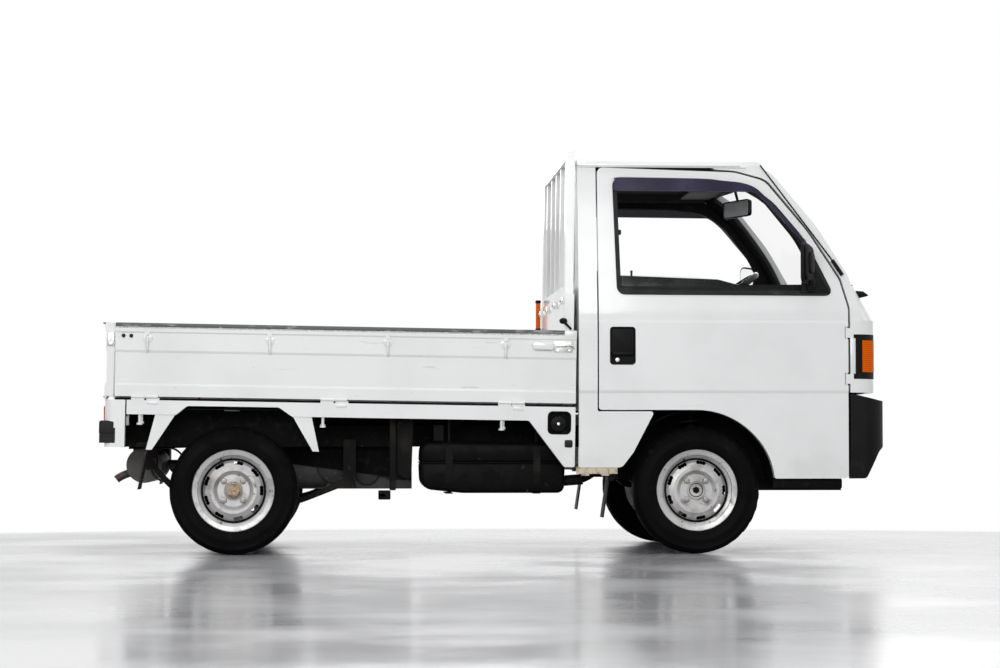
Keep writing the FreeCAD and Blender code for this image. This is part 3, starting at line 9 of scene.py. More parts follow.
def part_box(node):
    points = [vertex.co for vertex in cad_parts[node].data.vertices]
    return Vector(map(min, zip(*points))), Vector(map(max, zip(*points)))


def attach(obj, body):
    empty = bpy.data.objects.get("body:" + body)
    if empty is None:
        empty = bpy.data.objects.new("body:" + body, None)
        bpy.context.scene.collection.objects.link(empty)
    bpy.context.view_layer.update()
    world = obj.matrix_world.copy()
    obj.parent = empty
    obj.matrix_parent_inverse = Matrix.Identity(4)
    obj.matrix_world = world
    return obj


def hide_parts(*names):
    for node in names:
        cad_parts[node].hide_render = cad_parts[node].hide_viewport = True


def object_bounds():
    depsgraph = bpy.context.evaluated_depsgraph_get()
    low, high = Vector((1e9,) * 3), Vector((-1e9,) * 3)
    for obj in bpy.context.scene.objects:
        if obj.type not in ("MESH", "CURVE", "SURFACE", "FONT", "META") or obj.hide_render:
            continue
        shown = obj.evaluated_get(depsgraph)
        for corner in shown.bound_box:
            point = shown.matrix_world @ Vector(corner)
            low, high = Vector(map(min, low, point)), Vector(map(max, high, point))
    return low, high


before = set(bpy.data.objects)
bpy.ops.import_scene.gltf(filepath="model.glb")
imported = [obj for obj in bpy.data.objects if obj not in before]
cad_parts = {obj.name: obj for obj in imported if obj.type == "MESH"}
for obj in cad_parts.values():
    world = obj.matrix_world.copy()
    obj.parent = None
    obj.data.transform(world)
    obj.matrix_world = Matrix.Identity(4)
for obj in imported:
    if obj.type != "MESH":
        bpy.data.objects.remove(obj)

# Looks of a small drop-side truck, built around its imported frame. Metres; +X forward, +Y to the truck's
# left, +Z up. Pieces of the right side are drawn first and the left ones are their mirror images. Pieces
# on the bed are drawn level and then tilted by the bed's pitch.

cad_low, cad_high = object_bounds()

# ------------------------------------------------------------------ places read from the frame

FRONT = cad_high.x
BACK = cad_low.x
HALF_WIDTH = -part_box("door_panel_right")[0].y
CAB_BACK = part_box("roof_panel")[0].x
TYRE_REAR_LOW, TYRE_REAR_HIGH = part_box("tyre_rear_right")
TYRE_FRONT_LOW, TYRE_FRONT_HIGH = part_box("tyre_front_right")
TYRE_RADIUS = (TYRE_REAR_HIGH.z - TYRE_REAR_LOW.z) / 2
REAR_AXLE = (TYRE_REAR_LOW.x + TYRE_REAR_HIGH.x) / 2
FRONT_AXLE = (TYRE_FRONT_LOW.x + TYRE_FRONT_HIGH.x) / 2
WHEEL_SIDE = -(TYRE_REAR_LOW.y + TYRE_REAR_HIGH.y) / 2
HUB_HEIGHT = (TYRE_REAR_HIGH.z + TYRE_REAR_LOW.z) / 2

# the bed, in its own level position before it is tilted
BED_PITCH = radians(0.9)
BED_FRONT = CAB_BACK - 0.021
BED_TOP = 0.625
GATE_BACK = BACK + 0.061
GATE_FRONT = CAB_BACK - 0.012
GATE_TOP = 0.916
GATE_FACE = 0.019 - HALF_WIDTH
GATE_INSIDE = GATE_FACE + 0.036
BED_SIDE = GATE_INSIDE + 0.006
SKIRT_FACE = 0.0075 - HALF_WIDTH

# the cab's side wall: upright to the shoulder, then leaning in
SHOULDER = 1.0
CREASE_HEIGHT = 0.956
CREASE = 0.004
LEAN = (HALF_WIDTH - CREASE - 0.6035) / 0.664

# the bodies of pieces that come in pairs, right and left
DOORS = ("door_right", "door_left")
GATES = ("gate_side_right", "gate_side_left")


def side_face(height):
    """How far the cab's outer side wall stands from the centreline at a height."""
    step = CREASE * min(1.0, max(0.0, (height - CREASE_HEIGHT) / 0.008))
    return HALF_WIDTH - step - max(0.0, height - SHOULDER) * LEAN


# ------------------------------------------------------------------ finishes


def add_node(tree, kind, inputs, **settings):
    """A shader node, with each input linked from another node's socket or set to a plain value."""
    node = tree.nodes.new(kind)
    for name, value in settings.items():
        setattr(node, name, value)
    for socket, value in inputs.items():
        if isinstance(value, bpy.types.NodeSocket):
            tree.links.new(value, node.inputs[socket])
        else:
            node.inputs[socket].default_value = value
    return node


class Finish:
    """A material whose colour, roughness and bump are built up in layers on object coordinates."""

    def __init__(self, name, colour, roughness, sockets):
        self.material = bpy.data.materials.new(name)
        self.material.use_nodes = True
        self.tree = self.material.node_tree
        self.shader = self.tree.nodes["Principled BSDF"]
        values = {"Base Color": (*colour, 1), "Roughness": roughness, **sockets}
        for socket, value in values.items():
            self.shader.inputs[socket].default_value = value
        self.coords = self.tree.nodes.new("ShaderNodeTexCoord").outputs["Object"]
        self.normal = None

    def node(self, kind, inputs, **settings):
        return add_node(self.tree, kind, inputs, **settings)

    def place(self, stretch=(1, 1, 1)):
        return self.node("ShaderNodeMapping", {"Vector": self.coords, "Scale": stretch}).outputs["Vector"]

    def noise(self, scale, detail, stretch=(1, 1, 1)):
        inputs = {"Vector": self.place(stretch), "Scale": scale, "Detail": detail}
        return self.node("ShaderNodeTexNoise", inputs).outputs["Fac"]

    def cells(self, scale):
        inputs = {"Vector": self.place(), "Scale": scale}
        return self.node("ShaderNodeTexVoronoi", inputs).outputs["Distance"]

    def ribs(self, scale, direction):
        inputs = {"Vector": self.coords, "Scale": scale}
        return self.node("ShaderNodeTexWave", inputs, bands_direction=direction).outputs["Fac"]

    def between(self, value, low, high):
        """The value stretched so that low gives 0 and high gives 1."""
        inputs = {"Value": value, "From Min": low, "From Max": high}
        return self.node("ShaderNodeMapRange", inputs, interpolation_type="SMOOTHSTEP").outputs["Result"]

    def height(self, low, high):
        """0 at the low height and 1 at the high one."""
        split = self.node("ShaderNodeSeparateXYZ", {"Vector": self.coords})
        return self.between(split.outputs["Z"], low, high)

    def times(self, a, b):
        return self.node("ShaderNodeMath", {0: a, 1: b}, operation="MULTIPLY").outputs[0]

    def lay(self, socket, data_type, value, mask):
        """Mixes a value over what one of the shader's sockets has, where the mask is."""
        target = self.shader.inputs[socket]
        under = target.links[0].from_socket if target.is_linked else target.default_value
        mix = self.node("ShaderNodeMix", {"A": under, "B": value, "Factor": mask}, data_type=data_type)
        self.tree.links.new(mix.outputs["Result"], target)

    def stain(self, colour, mask):
        self.lay("Base Color", "RGBA", (*colour, 1), mask)

    def dull(self, roughness, mask):
        self.lay("Roughness", "FLOAT", roughness, mask)

    def bump(self, value, depth, strength):
        inputs = {"Height": value, "Distance": depth, "Strength": strength}
        if self.normal:
            inputs["Normal"] = self.normal
        self.normal = self.node("ShaderNodeBump", inputs).outputs["Normal"]
        self.tree.links.new(self.normal, self.shader.inputs["Normal"])


def paint(name, colour):
    """Gloss paint over pressed steel, a little uneven, with grey dust towards the ground."""
    f = Finish(name, colour, 0.28, {"Coat Weight": 0.55, "Coat Roughness": 0.06})
    f.stain([c * 0.93 for c in colour], f.between(f.noise(3.1, 5), 0.42, 0.75))
    low = f.times(f.between(f.noise(9, 6), 0.38, 0.72), f.between(f.height(0.28, 0.62), 1.0, 0.0))
    f.stain([c * 0.74 for c in (0.80, 0.78, 0.75)], f.times(low, 0.30))
    f.dull(0.36, f.between(f.noise(17, 3), 0.45, 0.7))
    f.bump(f.noise(260, 2), 0.00035, 0.25)
    return f


def scuffed_paint(name, colour):
    """Paint that loads have scratched: long scrapes to grey primer and specks of rust."""
    f = paint(name, colour)
    f.stain((0.66, 0.66, 0.65), f.between(f.noise(34, 6, (0.12, 1, 1)), 0.66, 0.72))
    f.stain((0.50, 0.47, 0.44), f.between(f.noise(61, 8), 0.72, 0.77))
    f.dull(0.4, f.between(f.noise(6, 5), 0.4, 0.7))
    return f


RUST = (0.17, 0.06, 0.022)

# Each finish starts with its base colour, its roughness and the shader's other sockets. The layers over it
# are (stain, colour, spread, pattern), (dull, roughness, spread, pattern) and (bump, depth, strength,
# pattern). A spread holds the pattern's values where the layer starts and where it is full. A pattern is
# noise with its scale, detail and stretch, cells with their scale, or ribs with their scale and direction.
LAYERS = {
    "bed_scuffed": [
        ((0.62, 0.62, 0.60), 0.5, {}),
        ("stain", (0.36, 0.35, 0.34), (0.48, 0.62), "noise", 7, 8, (0.35, 1, 1)),
        ("stain", (0.20, 0.19, 0.18), (0.58, 0.66), "noise", 38, 8, (0.06, 1, 1)),
        ("stain", RUST, (0.64, 0.72), "noise", 23, 9),
        ("bump", 0.0006, 0.5, "noise", 90, 5, (0.2, 1, 1)),
    ],
    "rail_worn": [
        ((0.085, 0.087, 0.09), 0.52, {}),
        ("stain", (0.30, 0.30, 0.29), (0.56, 0.68), "noise", 45, 7, (0.25, 1, 1)),
        ("stain", (0.62, 0.62, 0.60), (0.66, 0.72), "noise", 26, 7, (0.5, 1, 1)),
        ("bump", 0.0006, 0.5, "noise", 150, 4),
    ],
    "black_plastic": [
        ((0.0036, 0.0036, 0.0039), 0.5, {"Specular IOR Level": 0.11}),
        ("stain", (0.0070, 0.0070, 0.0074), (0.45, 0.75), "noise", 5, 6),
        ("stain", (0.015, 0.0147, 0.0143), (0.60, 0.74), "noise", 19, 8, (1, 1, 0.4)),
        ("bump", 0.0003, 0.35, "cells", 900),
    ],
    "black_gloss": [
        ((0.004, 0.004, 0.0044), 0.22, {"Specular IOR Level": 0.16}),
        ("stain", (0.010, 0.010, 0.0105), (0.5, 0.8), "noise", 21, 6),
        ("bump", 0.0003, 0.2, "noise", 120, 3),
    ],
    "rubber": [
        ((0.010, 0.010, 0.0105), 0.62, {"Specular IOR Level": 0.22}),
        ("stain", (0.032, 0.031, 0.029), (0.52, 0.75), "noise", 14, 7),
        ("bump", 0.0004, 0.45, "noise", 210, 4),
    ],
    "tyre": [
        ((0.0022, 0.0022, 0.0024), 0.6, {"Specular IOR Level": 0.05}),
        ("stain", (0.0044, 0.0042, 0.0040), (0.46, 0.74), "noise", 6.5, 7),
        ("stain", (0.011, 0.0102, 0.0094), (0.62, 0.76), "noise", 31, 8),
        ("dull", 0.78, (0.4, 0.7), "noise", 9, 5),
        ("bump", 0.0005, 0.4, "noise", 330, 3),
    ],
    "rim_silver": [
        ((0.47, 0.47, 0.465), 0.38, {"Metallic": 0.5}),
        ("stain", (0.31, 0.30, 0.29), (0.50, 0.72), "noise", 12, 7),
        ("stain", (0.22, 0.12, 0.065), (0.645, 0.71), "noise", 70, 9),
        ("stain", (0.10, 0.09, 0.08), (0.64, 0.74), "noise", 28, 8),
        ("dull", 0.6, (0.45, 0.65), "noise", 28, 6),
        ("bump", 0.0005, 0.35, "noise", 190, 5),
    ],
    "hub_rust": [
        ((0.42, 0.33, 0.23), 0.62, {"Metallic": 0.25}),
        ("stain", (0.20, 0.10, 0.05), (0.44, 0.62), "noise", 85, 8),
        ("stain", (0.55, 0.50, 0.42), (0.60, 0.70), "noise", 130, 5),
        ("bump", 0.0006, 0.6, "noise", 240, 6),
    ],
    "nut_steel": [
        ((0.35, 0.33, 0.31), 0.45, {"Metallic": 0.8}),
        ("stain", (0.20, 0.11, 0.06), (0.52, 0.66), "noise", 160, 7),
        ("bump", 0.0003, 0.4, "noise", 400, 4),
    ],
    "bright_steel": [
        ((0.62, 0.62, 0.61), 0.26, {"Metallic": 1.0}),
        ("stain", (0.40, 0.39, 0.37), (0.5, 0.75), "noise", 48, 6),
        ("dull", 0.45, (0.45, 0.7), "noise", 90, 4),
        ("bump", 0.0002, 0.2, "noise", 500, 3),
    ],
    "mirror_glass": [
        ((0.86, 0.88, 0.89), 0.03, {"Metallic": 1.0}),
        ("stain", (0.70, 0.73, 0.75), (0.55, 0.9), "noise", 16, 5),
    ],
    # painted reflection: a pale, rough, barely metallic colour that stands for the bright room seen in the
    # driving mirror
    "mirror_pale": [
        ((0.84, 0.85, 0.86), 0.4, {"Metallic": 0.1}),
        ("stain", (0.76, 0.78, 0.79), (0.45, 0.8), "noise", 20, 5),
    ],
    "glass": [
        ((0.050, 0.060, 0.060), 0.02, {"Alpha": 0.06, "Specular IOR Level": 0.3}),
        ("stain", (0.24, 0.25, 0.245), (0.5, 0.85), "noise", 11, 6),
    ],
    "visor_smoke": [
        ((0.016, 0.012, 0.036), 0.2, {"Alpha": 0.9, "Specular IOR Level": 0.22}),
        ("stain", (0.050, 0.042, 0.095), (0.4, 0.8), "noise", 6, 4),
    ],
    "amber_lens": [
        ((0.84, 0.125, 0.0005), 0.3, {"Specular IOR Level": 0.03}),
        ("stain", (0.50, 0.085, 0.002), (0.55, 0.95), "ribs", 38, "Z"),
        ("bump", 0.0008, 0.4, "ribs", 38, "Z"),
    ],
    "red_lens": [
        ((0.46, 0.006, 0.008), 0.2, {"Specular IOR Level": 0.3}),
        ("stain", (0.27, 0.003, 0.004), (0.55, 0.95), "ribs", 38, "Z"),
        ("bump", 0.0008, 0.4, "ribs", 38, "Z"),
    ],
    "clear_lens": [
        ((0.88, 0.90, 0.90), 0.05, {"Transmission Weight": 0.75, "Coat Weight": 0.5, "Alpha": 0.55}),
        ("stain", (0.74, 0.76, 0.76), (0.6, 0.95), "ribs", 26, "Y"),
        ("bump", 0.0018, 0.7, "ribs", 26, "Y"),
    ],
    "seat_vinyl": [
        ((0.050, 0.050, 0.054), 0.5, {"Sheen Weight": 0.12}),
        ("stain", (0.085, 0.085, 0.09), (0.45, 0.75), "noise", 5, 5),
        ("stain", (0.13, 0.13, 0.13), (0.66, 0.78), "noise", 40, 8),
        ("bump", 0.0007, 0.45, "cells", 420),
        ("bump", 0.0009, 0.3, "noise", 60, 5),
    ],
    "interior_grey": [
        ((0.075, 0.078, 0.085), 0.62, {"Specular IOR Level": 0.3}),
        ("stain", (0.105, 0.108, 0.115), (0.45, 0.75), "noise", 8, 6),
        ("bump", 0.0004, 0.4, "cells", 700),
    ],
    "interior_black": [
        ((0.012, 0.012, 0.013), 0.6, {"Specular IOR Level": 0.25}),
        ("stain", (0.024, 0.024, 0.026), (0.45, 0.75), "noise", 12, 6),
        ("bump", 0.0004, 0.4, "cells", 800),
    ],
    "headliner": [
        ((0.045, 0.045, 0.046), 0.9, {"Specular IOR Level": 0.15}),
        ("stain", (0.075, 0.074, 0.072), (0.45, 0.75), "noise", 9, 6),
        ("bump", 0.0008, 0.5, "cells", 260),
    ],
    "underbody_black": [
        ((0.0042, 0.0041, 0.0040), 0.66, {"Specular IOR Level": 0.10}),
        ("stain", (0.015, 0.0135, 0.012), (0.50, 0.70), "noise", 10, 8),
        ("stain", (0.060, 0.024, 0.010), (0.62, 0.74), "noise", 33, 9),
        ("stain", (0.095, 0.085, 0.072), (0.69, 0.78), "noise", 58, 9),
        ("bump", 0.0012, 0.6, "noise", 75, 7),
    ],
    "tank_black": [
        ((0.0018, 0.0018, 0.0020), 0.46, {"Specular IOR Level": 0.06}),
        ("stain", (0.0050, 0.0048, 0.0044), (0.50, 0.74), "noise", 7, 8),
        ("stain", (0.045, 0.038, 0.030), (0.66, 0.78), "noise", 29, 9),
        ("dull", 0.62, (0.45, 0.65), "noise", 13, 6),
        ("bump", 0.0010, 0.4, "noise", 55, 6),
    ],
    "engine_metal": [
        ((0.022, 0.0215, 0.021), 0.5, {"Specular IOR Level": 0.4}),
        ("stain", (0.008, 0.008, 0.0075), (0.42, 0.62), "noise", 12, 8),
        ("stain", (0.060, 0.052, 0.045), (0.64, 0.74), "noise", 40, 9),
        ("bump", 0.0014, 0.6, "noise", 110, 6),
    ],
    "muffler_grey": [
        ((0.075, 0.073, 0.07), 0.5, {"Metallic": 0.4}),
        ("stain", (0.050, 0.033, 0.022), (0.48, 0.66), "noise", 16, 9),
        ("stain", (0.020, 0.019, 0.018), (0.55, 0.75), "noise", 7, 7),
        ("bump", 0.0010, 0.5, "noise", 85, 6),
    ],
    "plate_white": [
        ((0.78, 0.78, 0.76), 0.4, {}),
        ("stain", (0.62, 0.61, 0.58), (0.52, 0.78), "noise", 20, 7),
        ("bump", 0.0003, 0.3, "noise", 130, 4),
    ],
    "jack_cream": [
        ((0.62, 0.55, 0.40), 0.6, {}),
        ("stain", (0.26, 0.19, 0.12), (0.52, 0.70), "noise", 44, 8),
        ("bump", 0.0007, 0.5, "noise", 140, 6),
    ],
    "belt_webbing": [
        ((0.030, 0.030, 0.032), 0.8, {"Sheen Weight": 0.2}),
        ("stain", (0.055, 0.055, 0.058), (0.4, 0.7), "ribs", 260, "Z"),
        ("bump", 0.0006, 0.6, "ribs", 260, "Z"),
    ],
    "seam_shadow": [
        ((0.0035, 0.0035, 0.0038), 0.75, {"Specular IOR Level": 0.08}),
        ("stain", (0.016, 0.0155, 0.015), (0.5, 0.8), "noise", 33, 7),
        ("bump", 0.0004, 0.4, "noise", 180, 4),
    ],
}


def layered(name):
    """A finish made from its rows in the table of layers."""
    base, *layers = LAYERS[name]
    f = Finish(name, *base)
    for kind, value, spread, pattern, *settings in layers:
        texture = getattr(f, pattern)(*settings)
        if kind == "bump":
            f.bump(texture, value, spread)
        elif kind == "stain":
            f.stain(value, f.between(texture, *spread))
        else:
            f.dull(value, f.between(texture, *spread))
    return f


FINISH = {name: layered(name).material for name in LAYERS}
FINISH["body_white"] = paint("body_white", (0.83, 0.835, 0.825)).material
FINISH["gate_white"] = scuffed_paint("gate_white", (0.80, 0.805, 0.79)).material

# the finish of each CAD node that isn't painted white
NODE_FINISH = {
    "gate_white": ("gate_right", "gate_left", "tailgate"),
    "bed_scuffed": ("bed_floor",),
    "black_plastic": (
        "front_bumper",
        "lamp_surrounds",
        "door_mirror_right",
        "door_mirror_left",
        "cowl",
        "antenna",
    ),
    "black_gloss": ("wipers", "interior_mirror", "steering_wheel"),
    "rubber": ("rear_buffers", "mud_flaps"),
    "tyre": ("tyre_front_right", "tyre_front_left", "tyre_rear_right", "tyre_rear_left"),
    "rim_silver": ("rim_front_right", "rim_front_left", "rim_rear_right", "rim_rear_left"),
    "glass": ("windscreen", "rear_window", "door_glass_right", "door_glass_left"),
    "amber_lens": ("turn_signals",),
    "red_lens": ("tail_lamps",),
    "clear_lens": ("headlamps",),
    "seat_vinyl": ("seats",),
    "interior_grey": ("dashboard", "steering_column"),
    "underbody_black": (
        "chassis_frame",
        "knuckle_right",
        "knuckle_left",
        "front_arms",
        "rear_axle",
        "leaf_springs",
        "cab_floor",
    ),
    "tank_black": ("fuel_tank",),
    "engine_metal": ("engine_block",),
    "muffler_grey": ("muffler",),
}


def finish_frame():
    """Gives each CAD node its finish."""
    finish_of = {node: name for name, nodes in NODE_FINISH.items() for node in nodes}
    for node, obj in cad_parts.items():
        obj.data.materials.clear()
        obj.data.materials.append(FINISH[finish_of.get(node, "body_white")])


finish_frame()


# ------------------------------------------------------------------ shapes in bmesh

AXIS_TURN = {"x": Matrix.Rotation(pi / 2, 3, "Y"), "y": Matrix.Rotation(-pi / 2, 3, "X")}
ACROSS = {"xz": Vector((0, 1, 0)), "yz": Vector((1, 0, 0))}
ORIGIN = (0, 0, 0)


def is_vert(element):
    return isinstance(element, bmesh.types.BMVert)


def round_off(bm, geom, offset, segments=2, affect="EDGES"):
    """Rounds edges, or a flat outline's corners, and returns the new faces."""
    made = bmesh.ops.bevel(
        bm, geom=geom, offset=offset, segments=segments, profile=0.5, affect=affect, material=-1
    )
    return made["faces"]


def add_block(bm, x, y, z, edge=0.002, segments=2):
    """A block between pairs of faces, with its edges rounded."""
    size = Vector((x[1] - x[0], y[1] - y[0], z[1] - z[0]))
    centre = Vector((x[0] + x[1], y[0] + y[1], z[0] + z[1])) / 2
    made = bmesh.ops.create_cube(bm, size=1.0)["verts"]
    bmesh.ops.scale(bm, vec=size, verts=made)
    if edge:
        edges = list({e for v in made for e in v.link_edges})
        faces = round_off(bm, edges, min(edge, min(size) * 0.45), segments)
        made = list({v for f in faces for v in f.verts})
    bmesh.ops.translate(bm, vec=centre, verts=made)
    return made


def add_rod(bm, start, end, radius, tip=None, sides=20, edge=0.0):
    """A round bar from start to end; tip is its radius at the end where it tapers."""
    start, end = Vector(start), Vector(end)
    run = end - start
    tip = radius if tip is None else tip
    made = bmesh.ops.create_cone(
        bm, cap_ends=True, segments=sides, radius1=radius, radius2=tip, depth=run.length
    )["verts"]
    if edge:
        rims = list({e for v in made for e in v.link_edges if abs(e.verts[0].co.z - e.verts[1].co.z) < 1e-6})
        faces = round_off(bm, rims, edge)
        made = list({v for f in faces for v in f.verts} | {v for v in made if v.is_valid})
    turn = Vector((0, 0, 1)).rotation_difference(run).to_matrix()
    bmesh.ops.rotate(bm, cent=ORIGIN, matrix=turn, verts=made)
    bmesh.ops.translate(bm, vec=(start + end) / 2, verts=made)


def add_ball(bm, centre, radius, squash=(1, 1, 1)):
    made = bmesh.ops.create_uvsphere(bm, u_segments=24, v_segments=12, radius=radius)["verts"]
    bmesh.ops.scale(bm, vec=squash, verts=made)
    bmesh.ops.translate(bm, vec=centre, verts=made)


def add_lathe(bm, profile, centre, axis, steps, closed=False):
    """Spins a profile of (radius, place along the axis) about an axis through the centre."""
    before = set(bm.verts)
    ring = [bm.verts.new((radius, 0, along)) for radius, along in profile]
    edges = [bm.edges.new(pair) for pair in zip(ring, ring[1:])]
    if closed:
        edges.append(bm.edges.new((ring[-1], ring[0])))
    turn = {"cent": ORIGIN, "axis": (0, 0, 1), "angle": 2 * pi, "steps": steps}
    bmesh.ops.spin(bm, geom=ring + edges, use_merge=True, use_duplicate=False, **turn)
    made = [v for v in bm.verts if v not in before]
    bmesh.ops.remove_doubles(bm, verts=made, dist=1e-6)
    made = [v for v in bm.verts if v not in before]
    bmesh.ops.rotate(bm, cent=ORIGIN, matrix=AXIS_TURN[axis], verts=made)
    bmesh.ops.translate(bm, vec=centre, verts=made)


def rectangle(u, v, radius=0.0):
    """An outline of four corners between two places each way, all rounded alike."""
    return [(u[0], v[0], radius), (u[1], v[0], radius), (u[1], v[1], radius), (u[0], v[1], radius)]


def flat_outline(bm, corners, plane):
    """A face with its corners (u, v, radius) rounded, in the XZ or YZ plane."""
    verts = [bm.verts.new((u, 0, v) if plane == "xz" else (0, u, v)) for u, v, *_ in corners]
    face = bm.faces.new(verts)
    before = set(bm.faces) - {face}
    for vert, corner in zip(verts, corners):
        if len(corner) > 2 and corner[2]:
            offset = corner[2] * corner_reach(corners, corner)
            round_off(bm, [vert], offset, segments=6, affect="VERTICES")
    return next(f for f in bm.faces if f not in before)


def corner_reach(corners, corner):
    """How far along its edges a rounding of radius 1 starts from this corner."""
    i = corners.index(corner)
    here = Vector(corner[:2])
    before = (Vector(corners[i - 1][:2]) - here).normalized()
    after = (Vector(corners[(i + 1) % len(corners)][:2]) - here).normalized()
    return 1 / tan(before.angle(after) / 2)


def thicken(bm, faces, plane, span, before):
    """Gives faces a thickness between two places across their plane, and lists the new verts."""
    run = bmesh.ops.extrude_face_region(bm, geom=faces)["geom"]
    top = [v for v in run if is_vert(v)]
    bmesh.ops.translate(bm, vec=ACROSS[plane] * (span[1] - span[0]), verts=top)
    made = [v for v in bm.verts if v not in before]
    bmesh.ops.translate(bm, vec=ACROSS[plane] * span[0], verts=made)
    return made


def add_slab(bm, corners, plane, span, edge=0.0):
    """An outline given a thickness between two places across its plane."""
    before = set(bm.verts)
    thicken(bm, [flat_outline(bm, corners, plane)], plane, span, before)
    if edge:
        rims = [e for e in bm.edges if e.verts[0] not in before and len(e.link_faces) == 2]
        round_off(bm, [e for e in rims if e.calc_face_angle(0) > 0.9], edge)
    return [v for v in bm.verts if v not in before]


def add_frame(bm, corners, plane, width, span):
    """A closed band that runs inside an outline, with a thickness across its plane."""
    before = set(bm.verts)
    face = flat_outline(bm, corners, plane)
    inset = {"thickness": width, "use_even_offset": True, "use_boundary": True}
    ring = bmesh.ops.inset_region(bm, faces=[face], **inset)["faces"]
    bmesh.ops.delete(bm, geom=[face], context="FACES_ONLY")
    return thicken(bm, ring, plane, span, before)


def add_object(name, data):
    obj = bpy.data.objects.new(name, data)
    bpy.context.scene.collection.objects.link(obj)
    return obj


def add_pipe(bm, points, radius, closed=False, smooth=True, resolution=4):
    """A round pipe along points, on a smooth curve or on straight runs."""
    curve = bpy.data.curves.new("pipe_run", "CURVE")
    curve.dimensions = "3D"
    curve.bevel_depth = radius
    curve.bevel_resolution = resolution
    curve.use_fill_caps = not closed
    spline = curve.splines.new("NURBS" if smooth else "POLY")
    spline.points.add(len(points) - 1)
    for point, place in zip(spline.points, points):
        point.co = (*place, 1)
    spline.use_cyclic_u = closed
    if smooth:
        spline.use_endpoint_u = not closed
        spline.order_u = 3
        spline.resolution_u = 6
    obj = bpy.data.objects.new("pipe_run", curve)
    mesh = bpy.data.meshes.new_from_object(obj)
    bm.from_mesh(mesh)
    bpy.data.objects.remove(obj)
    bpy.data.meshes.remove(mesh)
    bpy.data.curves.remove(curve)


def turn_about(bm, verts, centre, degrees):
    """Turns verts about an upright line."""
    turn = Matrix.Rotation(radians(degrees), 3, "Z")
    bmesh.ops.rotate(bm, cent=(*centre, 0), matrix=turn, verts=verts)


def lay_on_side(bm):
    """Moves a shape that was drawn about Y = 0 onto the cab's right side wall; minus Y is outwards."""
    for vert in bm.verts:
        vert.co.y -= side_face(vert.co.z)


def add_mirror_image(bm):
    copy = bmesh.ops.duplicate(bm, geom=list(bm.verts) + list(bm.edges) + list(bm.faces))["geom"]
    bmesh.ops.scale(bm, vec=(1, -1, 1), verts=[v for v in copy if is_vert(v)])


def tilt_with_bed(bm):
    turn = Matrix.Rotation(BED_PITCH, 3, "Y")
    bmesh.ops.rotate(bm, cent=(BED_FRONT, 0, BED_TOP), matrix=turn, verts=bm.verts)


def mirror_y(bm):
    """Turns a right-hand shape into the left-hand one."""
    bmesh.ops.scale(bm, vec=(1, -1, 1), verts=bm.verts)
    bmesh.ops.reverse_faces(bm, faces=bm.faces)


def finish_piece(name, bm, finish, body="truck_body", sharp=35):
    """Closes a bmesh into a piece that rides on a body and takes a finish."""
    bmesh.ops.remove_doubles(bm, verts=bm.verts, dist=1e-6)
    bmesh.ops.recalc_face_normals(bm, faces=bm.faces)
    for edge in bm.edges:
        edge.smooth = len(edge.link_faces) == 2 and edge.calc_face_angle(0) < radians(sharp)
    for face in bm.faces:
        face.smooth = True
    mesh = bpy.data.meshes.new(name)
    bm.to_mesh(mesh)
    bm.free()
    mesh.materials.append(FINISH[finish])
    obj = add_object(name, mesh)
    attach(obj, body)
    return obj


def piece_of(
    name, finish, draw, body="truck_body", sharp=35, on_side=False, both=False, tilted=False, left=False
):
    """A piece from a function that draws its right side: laid on the cab's wall, doubled by its mirror
    image, tilted with the bed or mirrored to the left."""
    bm = bmesh.new()
    draw(bm)
    if on_side:
        lay_on_side(bm)
    if both:
        add_mirror_image(bm)
    if tilted:
        tilt_with_bed(bm)
    if left:
        mirror_y(bm)
    return finish_piece(name, bm, finish, body, sharp)


def pair_of(name, finish, draw, right_body, left_body, **options):
    """The same piece on both sides, each on its own body."""
    right = piece_of(name + "_right", finish, draw, right_body, **options)
    left = piece_of(name + "_left", finish, draw, left_body, left=True, **options)
    return right, left


def piece(finish, *bodies, **options):
    """Makes the piece that the function below draws, and names it after the function. On two bodies it
    becomes a pair, and without a body it rides on the truck's own."""

    def make(draw):
        kind = pair_of if len(bodies) == 2 else piece_of
        return kind(draw.__name__, finish, draw, *bodies, **options)

    return make


# ------------------------------------------------------------------ wheels

TYRE_STEPS = 96
# half the tread's width, where its shoulders start across it and where the tread starts outwards
TREAD_HALF = 0.051
SHOULDER_START = 0.045
TREAD_START = 0.245
SLOT_DEPTH = 0.006
ZIGZAG = 0.0035
# the face of the rim's disc, out from the wheel's middle
DISC = -0.033
GROOVES = (-0.031, -0.0105, 0.0105, 0.031)


def crown(along):
    """The tread's radius, a little less towards the shoulders."""
    return TYRE_RADIUS - 0.0045 * (along / TREAD_HALF) ** 2


def tyre_profile():
    """The tyre's section as (radius, place along the axle), from one bead over the tread to the other."""
    wall = [(0.158, 0.050), (0.165, 0.0605), (0.171, 0.0615), (0.173, 0.0645), (0.186, 0.0690)]
    wall += [(0.200, 0.0718), (0.203, 0.0728), (0.206, 0.0728), (0.209, 0.0720), (0.222, 0.0716)]
    wall += [(0.236, 0.0690), (0.2385, 0.0702), (0.2415, 0.0700), (0.246, 0.0655), (0.2525, 0.0600)]
    tread = [(crown(TREAD_HALF) + 0.001, TREAD_HALF + 0.002)]
    top, foot, deep = 0.0036, 0.0026, 0.0065
    for groove in reversed(GROOVES):
        for shift, depth in ((top, 0.0), (foot, deep), (-foot, deep), (-top, 0.0)):
            tread.append((crown(groove + shift) - depth, groove + shift))
    tread.append((crown(TREAD_HALF) + 0.001, -TREAD_HALF - 0.002))
    far_wall = [(radius, -along) for radius, along in reversed(wall)]
    inside = [(0.150, -0.046), (0.150, 0.046)]
    return wall + tread + far_wall + inside


